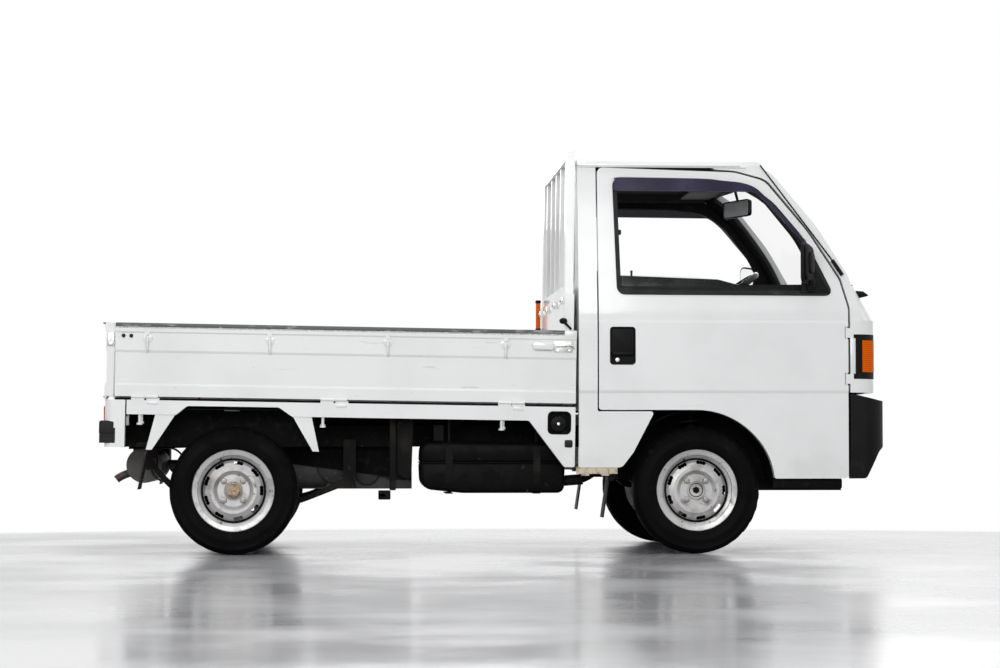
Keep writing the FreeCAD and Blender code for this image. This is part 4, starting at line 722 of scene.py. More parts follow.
def notch_tread(bm, centre):
    """Cuts slots across the shoulders and zigzags the grooves, by moving what the spin made."""
    for vert in bm.verts:
        out = Vector((vert.co.x - centre[0], 0, vert.co.z - centre[2]))
        along = vert.co.y - centre[1]
        radius = out.length
        if radius < TREAD_START:
            continue
        turn = round(TYRE_STEPS * (atan2(out.z, out.x) / (2 * pi)))
        if abs(along) > SHOULDER_START and turn % 3 == 0:
            vert.co -= out.normalized() * SLOT_DEPTH
        elif abs(along) < SHOULDER_START:
            vert.co.y += ZIGZAG if turn % 4 < 2 else -ZIGZAG


def draw_tyre(bm, centre):
    add_lathe(bm, tyre_profile(), centre, "y", TYRE_STEPS, closed=True)
    notch_tread(bm, centre)


def draw_nuts(bm, centre):
    """Four nuts on their seats, each with the end of its stud."""
    face, reach = centre[1] + DISC, 0.055
    for i in range(4):
        turn = radians(45 + 90 * i)
        x, z = centre[0] + reach * cos(turn), centre[2] + reach * sin(turn)
        add_rod(bm, (x, face + 0.001, z), (x, face - 0.004, z), 0.0135, 0.0115, sides=16)
        add_rod(bm, (x, face - 0.003, z), (x, face - 0.016, z), 0.0108, sides=6, edge=0.0012)
        add_rod(bm, (x, face - 0.015, z), (x, face - 0.0195, z), 0.006, 0.0045, sides=12)


def draw_valve(bm, centre):
    turn, reach = radians(112), 0.133
    foot = Vector((centre[0] + reach * cos(turn), centre[1] - 0.036, centre[2] + reach * sin(turn)))
    lean = Vector((-0.004 * cos(turn), -0.020, -0.004 * sin(turn)))
    add_rod(bm, foot - lean * 0.4, foot + lean, 0.0048, 0.0038, sides=12)
    add_rod(bm, foot + lean, foot + lean * 1.5, 0.0042, 0.0034, sides=10)


def draw_rear_cap(bm, centre):
    """The domed bearing cap in the rear wheel's bore."""
    profile = [(0.0305, DISC), (0.0305, DISC - 0.003), (0.0278, DISC - 0.004), (0.0275, DISC - 0.021)]
    profile += [(0.0255, DISC - 0.0245), (0.019, DISC - 0.0255), (0.018, DISC - 0.0238), (0.0, DISC - 0.0238)]
    add_lathe(bm, profile, centre, "y", 40)


def draw_front_bore(bm, centre):
    """Painted shade: a front wheel's bore, lined and closed in near-black for the shade in the hole, with the
    axle nut and its washer in the same dark finish.
    """
    ring = [(0.0295, DISC - 0.0006), (0.0262, DISC - 0.0006), (0.0262, DISC + 0.010), (0.0, DISC + 0.010)]
    add_lathe(bm, ring, centre, "y", 36)
    x, y, z = centre
    add_rod(bm, (x, y + DISC + 0.0105, z), (x, y + DISC + 0.0075, z), 0.0205, sides=24)
    add_rod(bm, (x, y + DISC + 0.008, z), (x, y + DISC - 0.0015, z), 0.0145, sides=6, edge=0.001)
    add_rod(bm, (x, y + DISC - 0.001, z), (x, y + DISC - 0.004, z), 0.0075, sides=14)


def draw_rim_ring(bm, centre):
    """The rolled edge of the rim's flange, and the raised lip round its bore."""
    edge = [(0.1675, -0.0608), (0.1658, -0.0622), (0.1635, -0.0612), (0.1632, -0.0590), (0.1665, -0.0585)]
    add_lathe(bm, edge, centre, "y", 64, closed=True)
    lip = [(0.0325, -0.0335), (0.0360, -0.0358), (0.0400, -0.0335)]
    add_lathe(bm, lip, centre, "y", 40, closed=True)


def draw_rim_gap(bm, centre):
    """Painted shade: a near-black ring that stands for the shadow in the deep gap between the disc's edge and
    the rim's lip.
    """
    ring = [(0.1232, -0.0290), (0.1318, -0.0345), (0.1318, -0.0300), (0.1232, -0.0262)]
    add_lathe(bm, ring, centre, "y", 72, closed=True)


def make_wheels():
    for axle, x in (("front", FRONT_AXLE), ("rear", REAR_AXLE)):
        rows = [
            ("tyre_tread", "tyre", draw_tyre, 42),
            ("wheel_nuts", "nut_steel", draw_nuts, 35),
            ("wheel_valve", "rubber", draw_valve, 35),
            ("wheel_edge", "rim_silver", draw_rim_ring, 50),
            ("wheel_gap_shade", "seam_shadow", draw_rim_gap, 35),
        ]
        if axle == "rear":
            rows.append(("wheel_cap", "hub_rust", draw_rear_cap, 35))
        else:
            rows.append(("wheel_bore", "seam_shadow", draw_front_bore, 35))
        for name, finish, draw, sharp in rows:
            placed = partial(draw, centre=(x, -WHEEL_SIDE, HUB_HEIGHT))
            bodies = (f"wheel_{axle}_right", f"wheel_{axle}_left")
            made = pair_of(f"{name}_{axle}", finish, placed, *bodies, sharp=sharp)
            if name == "tyre_tread":
                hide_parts(f"tyre_{axle}_right")
                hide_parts(f"tyre_{axle}_left")


make_wheels()


# ------------------------------------------------------------------ doors

# the black edge round the door's window, as (X, Z, radius)
WINDOW_EDGE = [
    (0.462, 1.066, 0.034),
    (1.364, 1.063, 0.026),
    (1.250, 1.297, 0.45),
    (1.121, 1.453, 0.17),
    (1.020, 1.530, 0.22),
    (0.852, 1.552, 0.40),
    (0.448, 1.557, 0.036),
]
VISOR_FOOT = [(0.452, 1.500), (1.036, 1.496, 0.05), (1.094, 1.446, 0.30), (1.238, 1.281)]
VISOR_HEAD = [
    (1.250, 1.291),
    (1.092, 1.470, 0.18),
    (1.044, 1.517, 0.10),
    (0.990, 1.536, 0.20),
    (0.813, 1.552, 0.60),
    (0.452, 1.556, 0.03),
]
# the box of the door handle's hollow, as (X, Z)
HANDLE_LOW, HANDLE_HIGH = (0.431, 0.777), (0.537, 0.933)


@piece("rubber", *DOORS, on_side=True)
def window_seal(bm):
    add_frame(bm, WINDOW_EDGE, "xz", 0.018, (-0.0035, 0.010))


@piece("rubber", *DOORS, on_side=True)
def window_inner_seal(bm):
    inner = [(x + (0.7 - x) * 0.03, z + (1.31 - z) * 0.045, *rest) for x, z, *rest in WINDOW_EDGE]
    add_frame(bm, inner, "xz", 0.010, (0.006, 0.030))


@piece("visor_smoke", *DOORS, on_side=True)
def rain_visor(bm):
    add_slab(bm, VISOR_FOOT + VISOR_HEAD, "xz", (-0.0165, -0.0142))


@piece("visor_smoke", *DOORS, on_side=True)
def rain_visor_rim(bm):
    """The visor's upper flange, which stands on the door frame."""
    inner = [(x + (0.7 - x) * 0.008, z - 0.006, *rest) for x, z, *rest in reversed(VISOR_HEAD)]
    add_slab(bm, VISOR_HEAD + inner, "xz", (-0.0150, -0.001))


@piece("black_plastic", *DOORS, on_side=True)
def handle_hollow(bm):
    """The black pan behind the door handle, with its rim."""
    x0, z0 = HANDLE_LOW
    x1, z1 = HANDLE_HIGH
    corners = rectangle((x0, x1), (z0, z1), 0.016)
    add_frame(bm, corners, "xz", 0.004, (-0.0012, 0.0255))
    add_slab(bm, corners, "xz", (0.0225, 0.0255))


@piece("black_plastic", *DOORS, on_side=True)
def handle_paddle(bm):
    x0, z0 = HANDLE_LOW
    x1, z1 = HANDLE_HIGH
    paddle = [(x0 + 0.006, z0 + 0.046, 0.008), (x1 - 0.006, z0 + 0.046, 0.008)]
    paddle += [(x1 - 0.006, z1 - 0.007, 0.011), (x0 + 0.006, z1 - 0.007, 0.011)]
    add_slab(bm, paddle, "xz", (0.0005, 0.0065), edge=0.002)
    lip = rectangle((x0 + 0.010, x1 - 0.010), (z0 + 0.040, z0 + 0.052))
    add_slab(bm, lip, "xz", (-0.0012, 0.012), edge=0.002)


@piece("bright_steel", *DOORS, on_side=True)
def door_lock(bm):
    x, z = HANDLE_LOW[0] + 0.032, HANDLE_LOW[1] + 0.020
    add_rod(bm, (x, 0.0235, z), (x, 0.0060, z), 0.0085, sides=24, edge=0.001)


@piece("black_gloss", *DOORS, on_side=True)
def trim_top(bm):
    """The dark padded top of the door's trim, which fills the lower part of the window."""
    corners = [(0.468, 1.070), (1.300, 1.068), (1.226, 1.086), (1.038, 1.095, 0.05)]
    corners += [(0.890, 1.134, 0.05), (0.478, 1.149, 0.01)]
    add_slab(bm, corners, "xz", (0.052, 0.082), edge=0.005)


@piece("black_gloss", *DOORS, on_side=True)
def lock_knob(bm):
    add_rod(bm, (0.530, 0.062, 1.140), (0.530, 0.062, 1.170), 0.0035, 0.0055, sides=14)


@piece("black_plastic", *DOORS, on_side=True)
def mirror_quarter(bm):
    """The black triangle that carries the mirror, in the window's front corner."""
    add_slab(bm, [(1.222, 1.074), (1.348, 1.073), (1.250, 1.243, 0.012)], "xz", (-0.006, 0.012), edge=0.002)


def turn_mirror(bm, verts):
    """Turns the mirror towards the driver about its inner edge."""
    turn_about(bm, verts, (1.262, -0.7085), -27)
    bmesh.ops.translate(bm, vec=(0.010, 0, 0), verts=verts)


@piece("black_plastic", *DOORS)
def mirror_head(bm):
    corners = [(-0.8240, 1.112, 0.026), (-0.7085, 1.108, 0.022)]
    corners += [(-0.7085, 1.268, 0.024), (-0.8240, 1.284, 0.030)]
    add_slab(bm, corners, "yz", (1.2420, 1.2560), edge=0.003)
    shell = [(-0.816, 1.122, 0.024), (-0.716, 1.118, 0.020), (-0.716, 1.260, 0.022), (-0.816, 1.274, 0.028)]
    add_slab(bm, shell, "yz", (1.2540, 1.2700), edge=0.010)
    hump = [(y * 0.6 - 0.306, z * 0.6 + 0.478, 0.02) for y, z, _ in shell]
    add_slab(bm, hump, "yz", (1.2680, 1.2800), edge=0.009)
    turn_mirror(bm, bm.verts)


@piece("black_plastic", *DOORS)
def mirror_arm(bm):
    add_block(bm, (1.246, 1.276), (-0.725, -0.672), (1.082, 1.112), edge=0.009, segments=3)
    add_ball(bm, (1.262, -0.722, 1.118), 0.020, (0.8, 0.9, 1.0))
    add_rod(bm, (1.262, -0.722, 1.098), (1.262, -0.722, 1.133), 0.014, 0.012, edge=0.002)


@piece("mirror_glass", *DOORS)
def mirror_face(bm):
    corners = [(-0.8175, 1.120, 0.022), (-0.7155, 1.116, 0.018)]
    corners += [(-0.7155, 1.261, 0.020), (-0.8175, 1.276, 0.026)]
    turn_mirror(bm, add_slab(bm, corners, "yz", (1.2408, 1.2435)))


for head, side in zip(mirror_head, ("right", "left")):
    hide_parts(f"door_mirror_{side}")


# ------------------------------------------------------------------ bed and gates

HOOKS_X = (-1.459, -0.963, -0.483, 0.000)
HINGES_X = (-1.461, -0.695, 0.027)
# the middle of the fuel cap, as (X, Z)
FILLER = (0.221, 0.533)


@piece("rail_worn", *GATES, tilted=True)
def rail_wear(bm):
    """The worn dark strip along the top of a side gate's rail."""
    y = (GATE_FACE - 0.0012, GATE_INSIDE - 0.004)
    add_block(bm, (GATE_BACK - 0.002, 0.243), y, (GATE_TOP - 0.016, GATE_TOP + 0.0012), edge=0.003)


@piece("body_white", *GATES, tilted=True)
def rail_cap(bm):
    y = (GATE_FACE - 0.0015, GATE_INSIDE + 0.002)
    add_block(bm, (0.243, 0.2935), y, (GATE_TOP - 0.030, GATE_TOP + 0.0015), edge=0.004)


@piece("bright_steel", *GATES, tilted=True)
def rail_line(bm):
    """Painted highlight: a bright steel line that stands for the light that the rolled edge under the strip
    catches.
    """
    start = (GATE_BACK - 0.002, GATE_FACE - 0.0005, GATE_TOP - 0.0175)
    add_rod(bm, start, (0.245, start[1], start[2]), 0.0022, sides=10)


@piece("rubber", *GATES, tilted=True)
def gate_dots(bm):
    for x in (-1.556, -1.525):
        start, end = (x, GATE_FACE + 0.006, 0.864), (x, GATE_FACE - 0.005, 0.864)
        add_rod(bm, start, end, 0.0085, 0.007, edge=0.001)


@piece("body_white", *GATES, tilted=True)
def gate_hooks(bm):
    """Rope hooks: a round plate on the rail with a bent stem below it."""
    for x in HOOKS_X:
        add_rod(bm, (x, GATE_FACE + 0.004, 0.856), (x, GATE_FACE - 0.003, 0.856), 0.019, edge=0.001)
        path = [(x, GATE_FACE - 0.002, 0.864), (x, GATE_FACE - 0.014, 0.862), (x, GATE_FACE - 0.015, 0.840)]
        path += [(x, GATE_FACE - 0.014, 0.808), (x, GATE_FACE - 0.006, 0.800)]
        add_pipe(bm, path, 0.0042)
        for dx in (-0.011, 0.011):
            start, end = (x + dx, GATE_FACE - 0.002, 0.858), (x + dx, GATE_FACE - 0.006, 0.858)
            add_rod(bm, start, end, 0.0042, sides=10)


@piece("body_white", *GATES, tilted=True)
def gate_hinge_leaves(bm):
    """The side gate's leaves of its hinges; the bed's leaves stand in front of them."""
    for x in HINGES_X:
        y = (GATE_FACE - 0.008, GATE_FACE + 0.012)
        add_block(bm, (x - 0.056, x - 0.002), y, (0.608, 0.624), edge=0.003)


@piece("body_white", both=True, tilted=True)
def bed_hinge_leaves(bm):
    for x in HINGES_X:
        y = (GATE_FACE - 0.008, GATE_FACE + 0.006)
        add_block(bm, (x + 0.002, x + 0.056), y, (0.597, 0.613), edge=0.003)
        y = (SKIRT_FACE - 0.003, SKIRT_FACE + 0.006)
        add_block(bm, (x + 0.006, x + 0.050), y, (0.585, 0.602), edge=0.002)


@piece("body_white", *GATES, tilted=True)
def gate_latch(bm):
    """The lever that holds the gate's front end: a rounded white handle."""
    handle = [(0.110, 0.836, 0.014), (0.196, 0.836, 0.006), (0.196, 0.866, 0.006), (0.110, 0.870, 0.014)]
    add_slab(bm, handle, "xz", (GATE_FACE - 0.0195, GATE_FACE - 0.005), edge=0.004)
    add_block(bm, (0.150, 0.205), (GATE_FACE - 0.008, GATE_FACE + 0.004), (0.842, 0.862), edge=0.002)


@piece("bright_steel", *GATES, tilted=True)
def gate_latch_bracket(bm):
    add_block(bm, (0.200, 0.276), (GATE_FACE - 0.0035, GATE_FACE + 0.006), (0.828, 0.872), edge=0.0015)
    start, end = (0.206, GATE_FACE - 0.012, 0.853), (0.252, GATE_FACE - 0.012, 0.853)
    add_rod(bm, start, end, 0.0055, sides=14, edge=0.001)
    bend = [(0.246, GATE_FACE - 0.012, 0.853), (0.268, GATE_FACE - 0.013, 0.860)]
    add_pipe(bm, bend + [(0.280, GATE_FACE - 0.008, 0.846)], 0.0038)
    for x, z in ((0.214, 0.836), (0.262, 0.836), (0.262, 0.866), (0.214, 0.866)):
        add_rod(bm, (x, GATE_FACE - 0.003, z), (x, GATE_FACE - 0.0075, z), 0.005, sides=6)


@piece("bright_steel", "gate_tail", both=True, tilted=True)
def tailgate_latches(bm):
    """The tailgate's latches at its upper corners."""
    back = GATE_BACK - 0.030
    add_block(bm, (back - 0.004, back + 0.024), (-0.6925, -0.670), (0.822, 0.876), edge=0.003)
    for z in (0.836, 0.862):
        add_rod(bm, (back + 0.010, -0.690, z), (back + 0.010, -0.6955, z), 0.007, sides=14)
    loop = [(back + 0.004, -0.693, 0.836), (back + 0.018, -0.695, 0.849), (back + 0.006, -0.693, 0.862)]
    add_pipe(bm, loop, 0.0028)


@piece("body_white", both=True, tilted=True)
def rope_pegs(bm):
    """Rope pegs under the bed's side rails, with a turned foot."""
    for x in (-1.478, -0.742, -0.005):
        add_rod(bm, (x, -0.660, 0.566), (x, -0.660, 0.514), 0.0065, sides=14)
        add_rod(bm, (x, -0.660, 0.517), (x, -0.660, 0.507), 0.0105, sides=16, edge=0.001)


@piece("seam_shadow", both=True, tilted=True)
def gate_seam_lines(bm):
    """Painted shade: a near-black strip that stands for the shadow in the gap between a side gate and the
    bed's rail.
    """
    y = (GATE_FACE + 0.004, BED_SIDE - 0.004)
    add_block(bm, (GATE_BACK, GATE_FRONT - 0.004), y, (0.6045, 0.6115), edge=0)


@piece("bed_scuffed", tilted=True)
def floor_ribs(bm):
    ribs, spacing, half = 17, 0.07, 0.014
    for i in range(ribs):
        y = -0.56 + i * spacing
        z = (BED_TOP - 0.001, BED_TOP + 0.0045)
        add_block(bm, (-1.570, 0.232), (y - half, y + half), z, edge=0.003)


@piece("rail_worn", "gate_tail", tilted=True)
def tailgate_wear(bm):
    z = (GATE_TOP - 0.004, GATE_TOP + 0.0012)
    add_block(bm, (BACK + 0.006, BACK + 0.040), (-0.660, 0.660), z, edge=0.002)


@piece("seam_shadow", tilted=True)
def filler_pan(bm):
    """Painted shade: the pocket round the fuel cap, near-black for the shade in the recess."""
    corners = rectangle((0.176, 0.273), (0.490, 0.585), 0.022)
    add_frame(bm, corners, "xz", 0.006, (SKIRT_FACE - 0.0015, SKIRT_FACE + 0.026))
    add_slab(bm, corners, "xz", (SKIRT_FACE + 0.0150, SKIRT_FACE + 0.0185))


@piece("black_plastic", tilted=True)
def filler_cap(bm):
    x, z = FILLER
    add_rod(bm, (x, SKIRT_FACE + 0.016, z), (x, SKIRT_FACE + 0.002, z), 0.034, 0.032, sides=32, edge=0.002)
    grip = (SKIRT_FACE - 0.0030, SKIRT_FACE + 0.003)
    add_block(bm, (x - 0.027, x + 0.027), grip, (z - 0.006, z + 0.006), edge=0.002)


@piece("bright_steel", tilted=True)
def filler_key(bm):
    x, z = FILLER
    add_rod(bm, (x, SKIRT_FACE, z), (x, SKIRT_FACE - 0.0042, z), 0.0060, sides=20, edge=0.001)


@piece("rubber", tilted=True)
def skirt_plug(bm):
    corners = rectangle((0.247, 0.280), (0.437, 0.468), 0.007)
    add_slab(bm, corners, "xz", (SKIRT_FACE - 0.003, SKIRT_FACE + 0.006), edge=0.002)


@piece("rubber", both=True, tilted=True)
def rear_pads(bm):
    """The rounded rubber blocks on the rear corners."""
    add_block(bm, (-1.6465, -1.584), (-0.6925, -0.640), (0.461, 0.518), edge=0.009, segments=3)


# ------------------------------------------------------------------ underbody, arches and tank


def arch_line(radius):
    """Points over a front wheel, on a circle round its centre."""
    start, stop, steps = 8, 172, 14
    turns = [radians(start + (stop - start) * i / steps) for i in range(steps + 1)]
    return [(FRONT_AXLE + radius * cos(turn), HUB_HEIGHT + radius * sin(turn)) for turn in turns]


@piece("seam_shadow", both=True)
def front_arch_liner(bm):
    """Painted shade: a near-black inner wing over a front wheel, with its inner side closed, for the shade
    inside the arch.
    """
    outer = arch_line(0.332)
    add_slab(bm, outer + list(reversed(arch_line(0.328))), "xz", (-0.640, -0.396))
    foot = [(FRONT_AXLE - 0.330, 0.300), (FRONT_AXLE + 0.330, 0.300)]
    add_slab(bm, outer + foot, "xz", (-0.400, -0.396))


@piece("seam_shadow", both=True)
def bed_underside(bm):
    """Painted shade: near-black panels inside the bed's skirts, where splash guards and boxes close the view,
    for the shade under the bed.
    """
    top = 0.600
    for x0, z0, x1, z1 in (
        (-1.560, 0.430, -1.100, 0.440),
        (-1.100, 0.400, -0.372, 0.300),
        (-0.372, 0.470, 0.236, 0.470),
    ):
        add_slab(bm, [(x0, z0), (x1, z1), (x1, top), (x0, top)], "xz", (-0.300, -0.292))
    add_block(bm, (-1.530, 0.232), (-0.632, -0.010), (0.5965, 0.6010), edge=0)


@piece("seam_shadow", both=True)
def rear_wheel_house(bm):
    """Painted shade: the bed's wheel house, a near-black flat-topped box with rounded ends, for the shade
    over the rear wheel.
    """
    x, top = REAR_AXLE, 0.5950
    corners = [(x - 0.345, 0.440), (x - 0.330, top, 0.060), (x + 0.330, top, 0.060), (x + 0.345, 0.440)]
    add_slab(bm, corners, "xz", (-0.520, -0.516))
    add_block(bm, (x - 0.300, x + 0.300), (-0.668, -0.517), (top - 0.004, top), edge=0)


@piece("tank_black", sharp=50)
def tank_shells(bm):
    """The pressed tank: two rounded shells that meet at a flange."""
    y = (-0.6295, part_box("fuel_tank")[1].y)
    x0, x1 = -0.346, 0.252
    upper = [(x0, 0.372), (x1, 0.372), (x1, 0.455, 0.040), (x0 + 0.004, 0.463, 0.040)]
    lower = [(x0, 0.380), (x0 + 0.004, 0.268, 0.050), (-0.170, 0.2505, 0.2)]
    lower += [(x1 - 0.004, 0.2505, 0.030), (x1, 0.380)]
    for corners in (upper, lower):
        add_slab(bm, corners, "xz", y, edge=0.016)


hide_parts("fuel_tank")


@piece("tank_black")
def tank_flange(bm):
    add_block(bm, (-0.347, 0.253), (-0.6300, -0.3620), (0.373, 0.378), edge=0.002)


@piece("underbody_black")
def tank_straps(bm):
    for x in (-0.240, 0.120):
        add_block(bm, (x, x + 0.030), (-0.6310, -0.6260), (0.290, 0.440), edge=0.001)
        add_block(bm, (x, x + 0.030), (-0.6260, -0.370), (0.2480, 0.2515), edge=0.001)
        add_rod(bm, (x + 0.015, -0.600, 0.440), (x + 0.015, -0.600, 0.556), 0.005, sides=10)


@piece("underbody_black")
def frame_stays(bm):
    """The step bracket, the carrier and the guards that hang between the axle and the tank."""
    for x, z in (
        ((-0.470, -0.444), (0.262, 0.560)),
        ((-0.516, -0.466), (0.224, 0.262)),
        ((-0.516, -0.484), (0.232, 0.252)),
    ):
        add_block(bm, x, (-0.622, -0.596), z, edge=0.004)
    guard = [(-0.440, 0.330), (-0.380, 0.300, 0.02), (-0.372, 0.556), (-0.440, 0.556)]
    add_slab(bm, guard, "xz", (-0.590, -0.582))
    add_rod(bm, (0.250, -0.560, 0.300), (0.330, -0.560, 0.306), 0.022, sides=20, edge=0.002)
    add_pipe(bm, [(0.330, -0.560, 0.306), (0.400, -0.540, 0.330), (0.430, -0.500, 0.400)], 0.014)


@piece("underbody_black")
def brake_lines(bm):
    """Fuel, brake and handbrake lines along the frame."""
    for y, z, radius in ((-0.298, 0.560, 0.004), (-0.312, 0.545, 0.004), (-0.330, 0.535, 0.006)):
        path = [(-1.150, y, 0.500), (-1.000, y, z - 0.030), (-0.600, y, z - 0.020), (0.100, y, z - 0.015)]
        path += [(0.300, y, 0.440), (0.600, y, 0.400)]
        add_pipe(bm, path, radius, resolution=2)


@piece("engine_metal")
def gearbox_castings(bm):
    """The engine's sump, gearbox and final drive, rounded castings under the bed."""
    add_block(bm, (-0.960, -0.720), (-0.285, -0.030), (0.263, 0.400), edge=0.030, segments=3)
    add_rod(bm, (-0.700, -0.230, 0.360), (-0.700, -0.290, 0.360), 0.075, sides=28, edge=0.006)
    add_rod(bm, (-0.560, -0.230, 0.330), (-0.560, -0.2895, 0.330), 0.052, sides=28, edge=0.006)
    for i in range(6):
        turn = radians(60 * i)
        spot = (-0.700 + 0.062 * cos(turn), -0.288, 0.360 + 0.062 * sin(turn))
        add_rod(bm, spot, (spot[0], -0.2965, spot[2]), 0.006, sides=6)
    add_block(bm, (-0.480, -0.385), (-0.289, -0.120), (0.300, 0.420), edge=0.016)


@piece("underbody_black", both=True)
def spring_details(bm):
    """The U-bolts and clips of the rear springs, and the dampers beside them."""
    for y in (-0.4605, -0.3995):
        for dx in (-0.045, 0.045):
            add_rod(bm, (REAR_AXLE + dx, y, 0.200), (REAR_AXLE + dx, y, 0.330), 0.006, sides=10)
    for x in (REAR_AXLE - 0.250, REAR_AXLE + 0.250):
        add_block(bm, (x - 0.012, x + 0.012), (-0.4625, -0.3975), (0.226, 0.262), edge=0.002)
    add_rod(bm, (REAR_AXLE - 0.160, -0.350, 0.250), (REAR_AXLE - 0.060, -0.330, 0.520), 0.024, sides=18)
    add_rod(bm, (REAR_AXLE - 0.188, -0.356, 0.190), (REAR_AXLE - 0.140, -0.346, 0.300), 0.016, sides=16)


@piece("muffler_grey")
def exhaust_pipes(bm):
    path = [(-1.000, 0.080, 0.330), (-1.090, 0.080, 0.390), (-1.170, 0.060, 0.400), (-1.232, 0.050, 0.360)]
    add_pipe(bm, path, 0.020)
    add_pipe(bm, [(-1.560, -0.130, 0.330), (-1.600, -0.140, 0.320), (-1.625, -0.142, 0.300)], 0.017)


@piece("muffler_grey")
def muffler_rim(bm):
    """The rolled rim of the silencer's end."""
    rim = [(0.074, 0.002), (0.0765, -0.001), (0.0735, -0.006), (0.068, -0.002)]
    add_lathe(bm, rim, (-1.400, -0.2605, 0.3635), "y", 40, closed=True)


@piece("underbody_black", both=True)
def flap_brackets(bm):
    add_block(bm, (-1.500, -1.455), (-0.650, -0.560), (0.440, 0.460), edge=0.003)
    add_block(bm, (0.430, 0.452), (-0.660, -0.520), (0.300, 0.420), edge=0.003)


@piece("underbody_black", both=True)
def strut_coils(bm):
    """The coil springs round the front struts."""
    radius, points_a_turn, turns, rise = 0.050, 12, 5, 0.0026
    coil = []
    for i in range(points_a_turn * turns + 1):
        turn = 2 * pi * i / points_a_turn
        coil.append((FRONT_AXLE + radius * cos(turn), -0.500 + radius * sin(turn), 0.400 + i * rise))
    add_pipe(bm, coil, 0.0055, resolution=2)


@piece("jack_cream", both=True)
def jack_flange(bm):
    """The cream sill flange behind the front wheel, with its holes and bolts."""
    add_block(bm, (0.292, 0.462), (-0.6895, -0.6855), (0.330, 0.358), edge=0.001)
    for x in (0.312, 0.352, 0.392, 0.432):
        add_rod(bm, (x, -0.684, 0.336), (x, -0.6925, 0.336), 0.0075, sides=12, edge=0.001)
    for x in (0.330, 0.412):
        add_block(bm, (x - 0.016, x + 0.016), (-0.688, -0.660), (0.322, 0.333), edge=0.002)


@piece("seam_shadow", both=True)
def cab_underside(bm):
    """Painted shade: the floor pan's edge and the tray in front of the front wheel, near-black for the shade
    under the cab.
    """
    add_block(bm, (1.115, 1.400), (-0.640, -0.040), (0.308, 0.3195), edge=0.002)
    add_block(bm, (0.960, 1.115), (-0.370, -0.040), (0.308, 0.3195), edge=0.002)
    add_block(bm, (1.110, 1.395), (-0.672, -0.640), (0.270, 0.308), edge=0.004)


# ------------------------------------------------------------------ cab interior

CABIN_MIRROR_LOW, CABIN_MIRROR_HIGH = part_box("interior_mirror")
# the top of the floor between the seats, which carries the levers
TUNNEL_TOP = 0.640
# how steeply the roof's brow falls to the windscreen
BROW_SLOPE = 0.452


@piece("black_plastic", *DOORS, on_side=True)
def door_frame_trim(bm):
    """The black trim round the window, inside the door."""
    outer = [(0.405, 1.052), (1.372, 1.062), (1.262, 1.318, 0.4), (1.118, 1.500, 0.15)]
    outer += [(1.010, 1.563, 0.2), (0.852, 1.584, 0.4), (0.405, 1.592, 0.03)]
    add_frame(bm, outer, "xz", 0.052, (0.040, 0.0445))


@piece("headliner")
def headliner_board(bm):
    section = [(-0.590, 1.5985), (-0.590, 1.6060), (0.590, 1.6060), (0.590, 1.5985)]
    add_slab(bm, section, "yz", (CAB_BACK + 0.040, 1.020))
    add_slab(bm, [(-0.560, 1.580), (-0.600, 1.604), (0.600, 1.604), (0.560, 1.580)], "yz", (0.990, 1.058))
    for side in (-1, 1):
        rail = [(side * 0.545, 1.602), (side * 0.552, 1.568), (side * 0.566, 1.560), (side * 0.566, 1.602)]
        add_slab(bm, rail, "yz", (CAB_BACK + 0.040, 1.040))


@piece("black_plastic", both=True)
def pillar_trims(bm):
    """The black lining of a windscreen pillar."""
    line = [(1.020, 1.575), (1.085, 1.540), (1.180, 1.430), (1.285, 1.290), (1.352, 1.165), (1.372, 1.085)]
    add_pipe(bm, [(x, -side_face(z) + 0.062, z) for x, z in line], 0.023, resolution=3)


@piece("interior_black")
def back_trim(bm):
    """The lining of the cab's back wall, round the rear window."""
    for y, z in (
        ((-0.560, 0.560), (0.640, 1.100)),
        ((-0.598, -0.500), (1.100, 1.560)),
        ((0.500, 0.598), (1.100, 1.560)),
        ((-0.560, 0.560), (1.492, 1.596)),
    ):
        add_block(bm, (CAB_BACK + 0.038, CAB_BACK + 0.043), y, z, edge=0.001)


@piece("interior_black")
def sun_visors(bm):
    for y0, y1 in ((-0.500, -0.120), (0.120, 0.500)):
        add_block(bm, (0.880, 1.020), (y0, y1), (1.570, 1.586), edge=0.006, segments=3)
        add_rod(bm, (1.010, y0, 1.578), (1.010, y1, 1.578), 0.0045, sides=10)


def turn_to_driver(bm, verts):
    """Turns the driving mirror's head about its arm, towards the driver."""
    turn_about(bm, verts, (CABIN_MIRROR_HIGH.x, 0), 21)


def mirror_outline(inset):
    """The driving mirror's rounded outline, set in from its rim."""
    low = CABIN_MIRROR_LOW.z
    half = 0.115 - inset
    return rectangle((-half, half), (low + inset, low + 0.076 - inset), 0.018 - inset)


@piece("black_gloss")
def cabin_mirror_rim(bm):
    """The driving mirror's rim and shell, its arm and its foot on the header."""
    x, low, high = CABIN_MIRROR_HIGH.x, CABIN_MIRROR_LOW.z, CABIN_MIRROR_HIGH.z
    head = add_slab(bm, mirror_outline(0.002), "yz", (x - 0.006, x + 0.008), edge=0.004)
    head += add_frame(bm, mirror_outline(0), "yz", 0.006, (x - 0.0105, x - 0.0050))
    turn_to_driver(bm, head)
    foot = x - 0.020
    add_rod(bm, (x + 0.004, 0, low + 0.060), (foot, 0, high - 0.004), 0.0055, 0.0075, sides=16)
    add_rod(bm, (foot, 0, high - 0.008), (foot, 0, high - 0.001), 0.020, 0.017, sides=24, edge=0.001)


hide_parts("interior_mirror")


# painted reflection: the driving mirror's pane is pale so that it looks as if it shows the bright room
@piece("mirror_pale")
def cabin_mirror_pane(bm):
    x = CABIN_MIRROR_HIGH.x
    turn_to_driver(bm, add_slab(bm, mirror_outline(0.005), "yz", (x - 0.0080, x - 0.0055)))


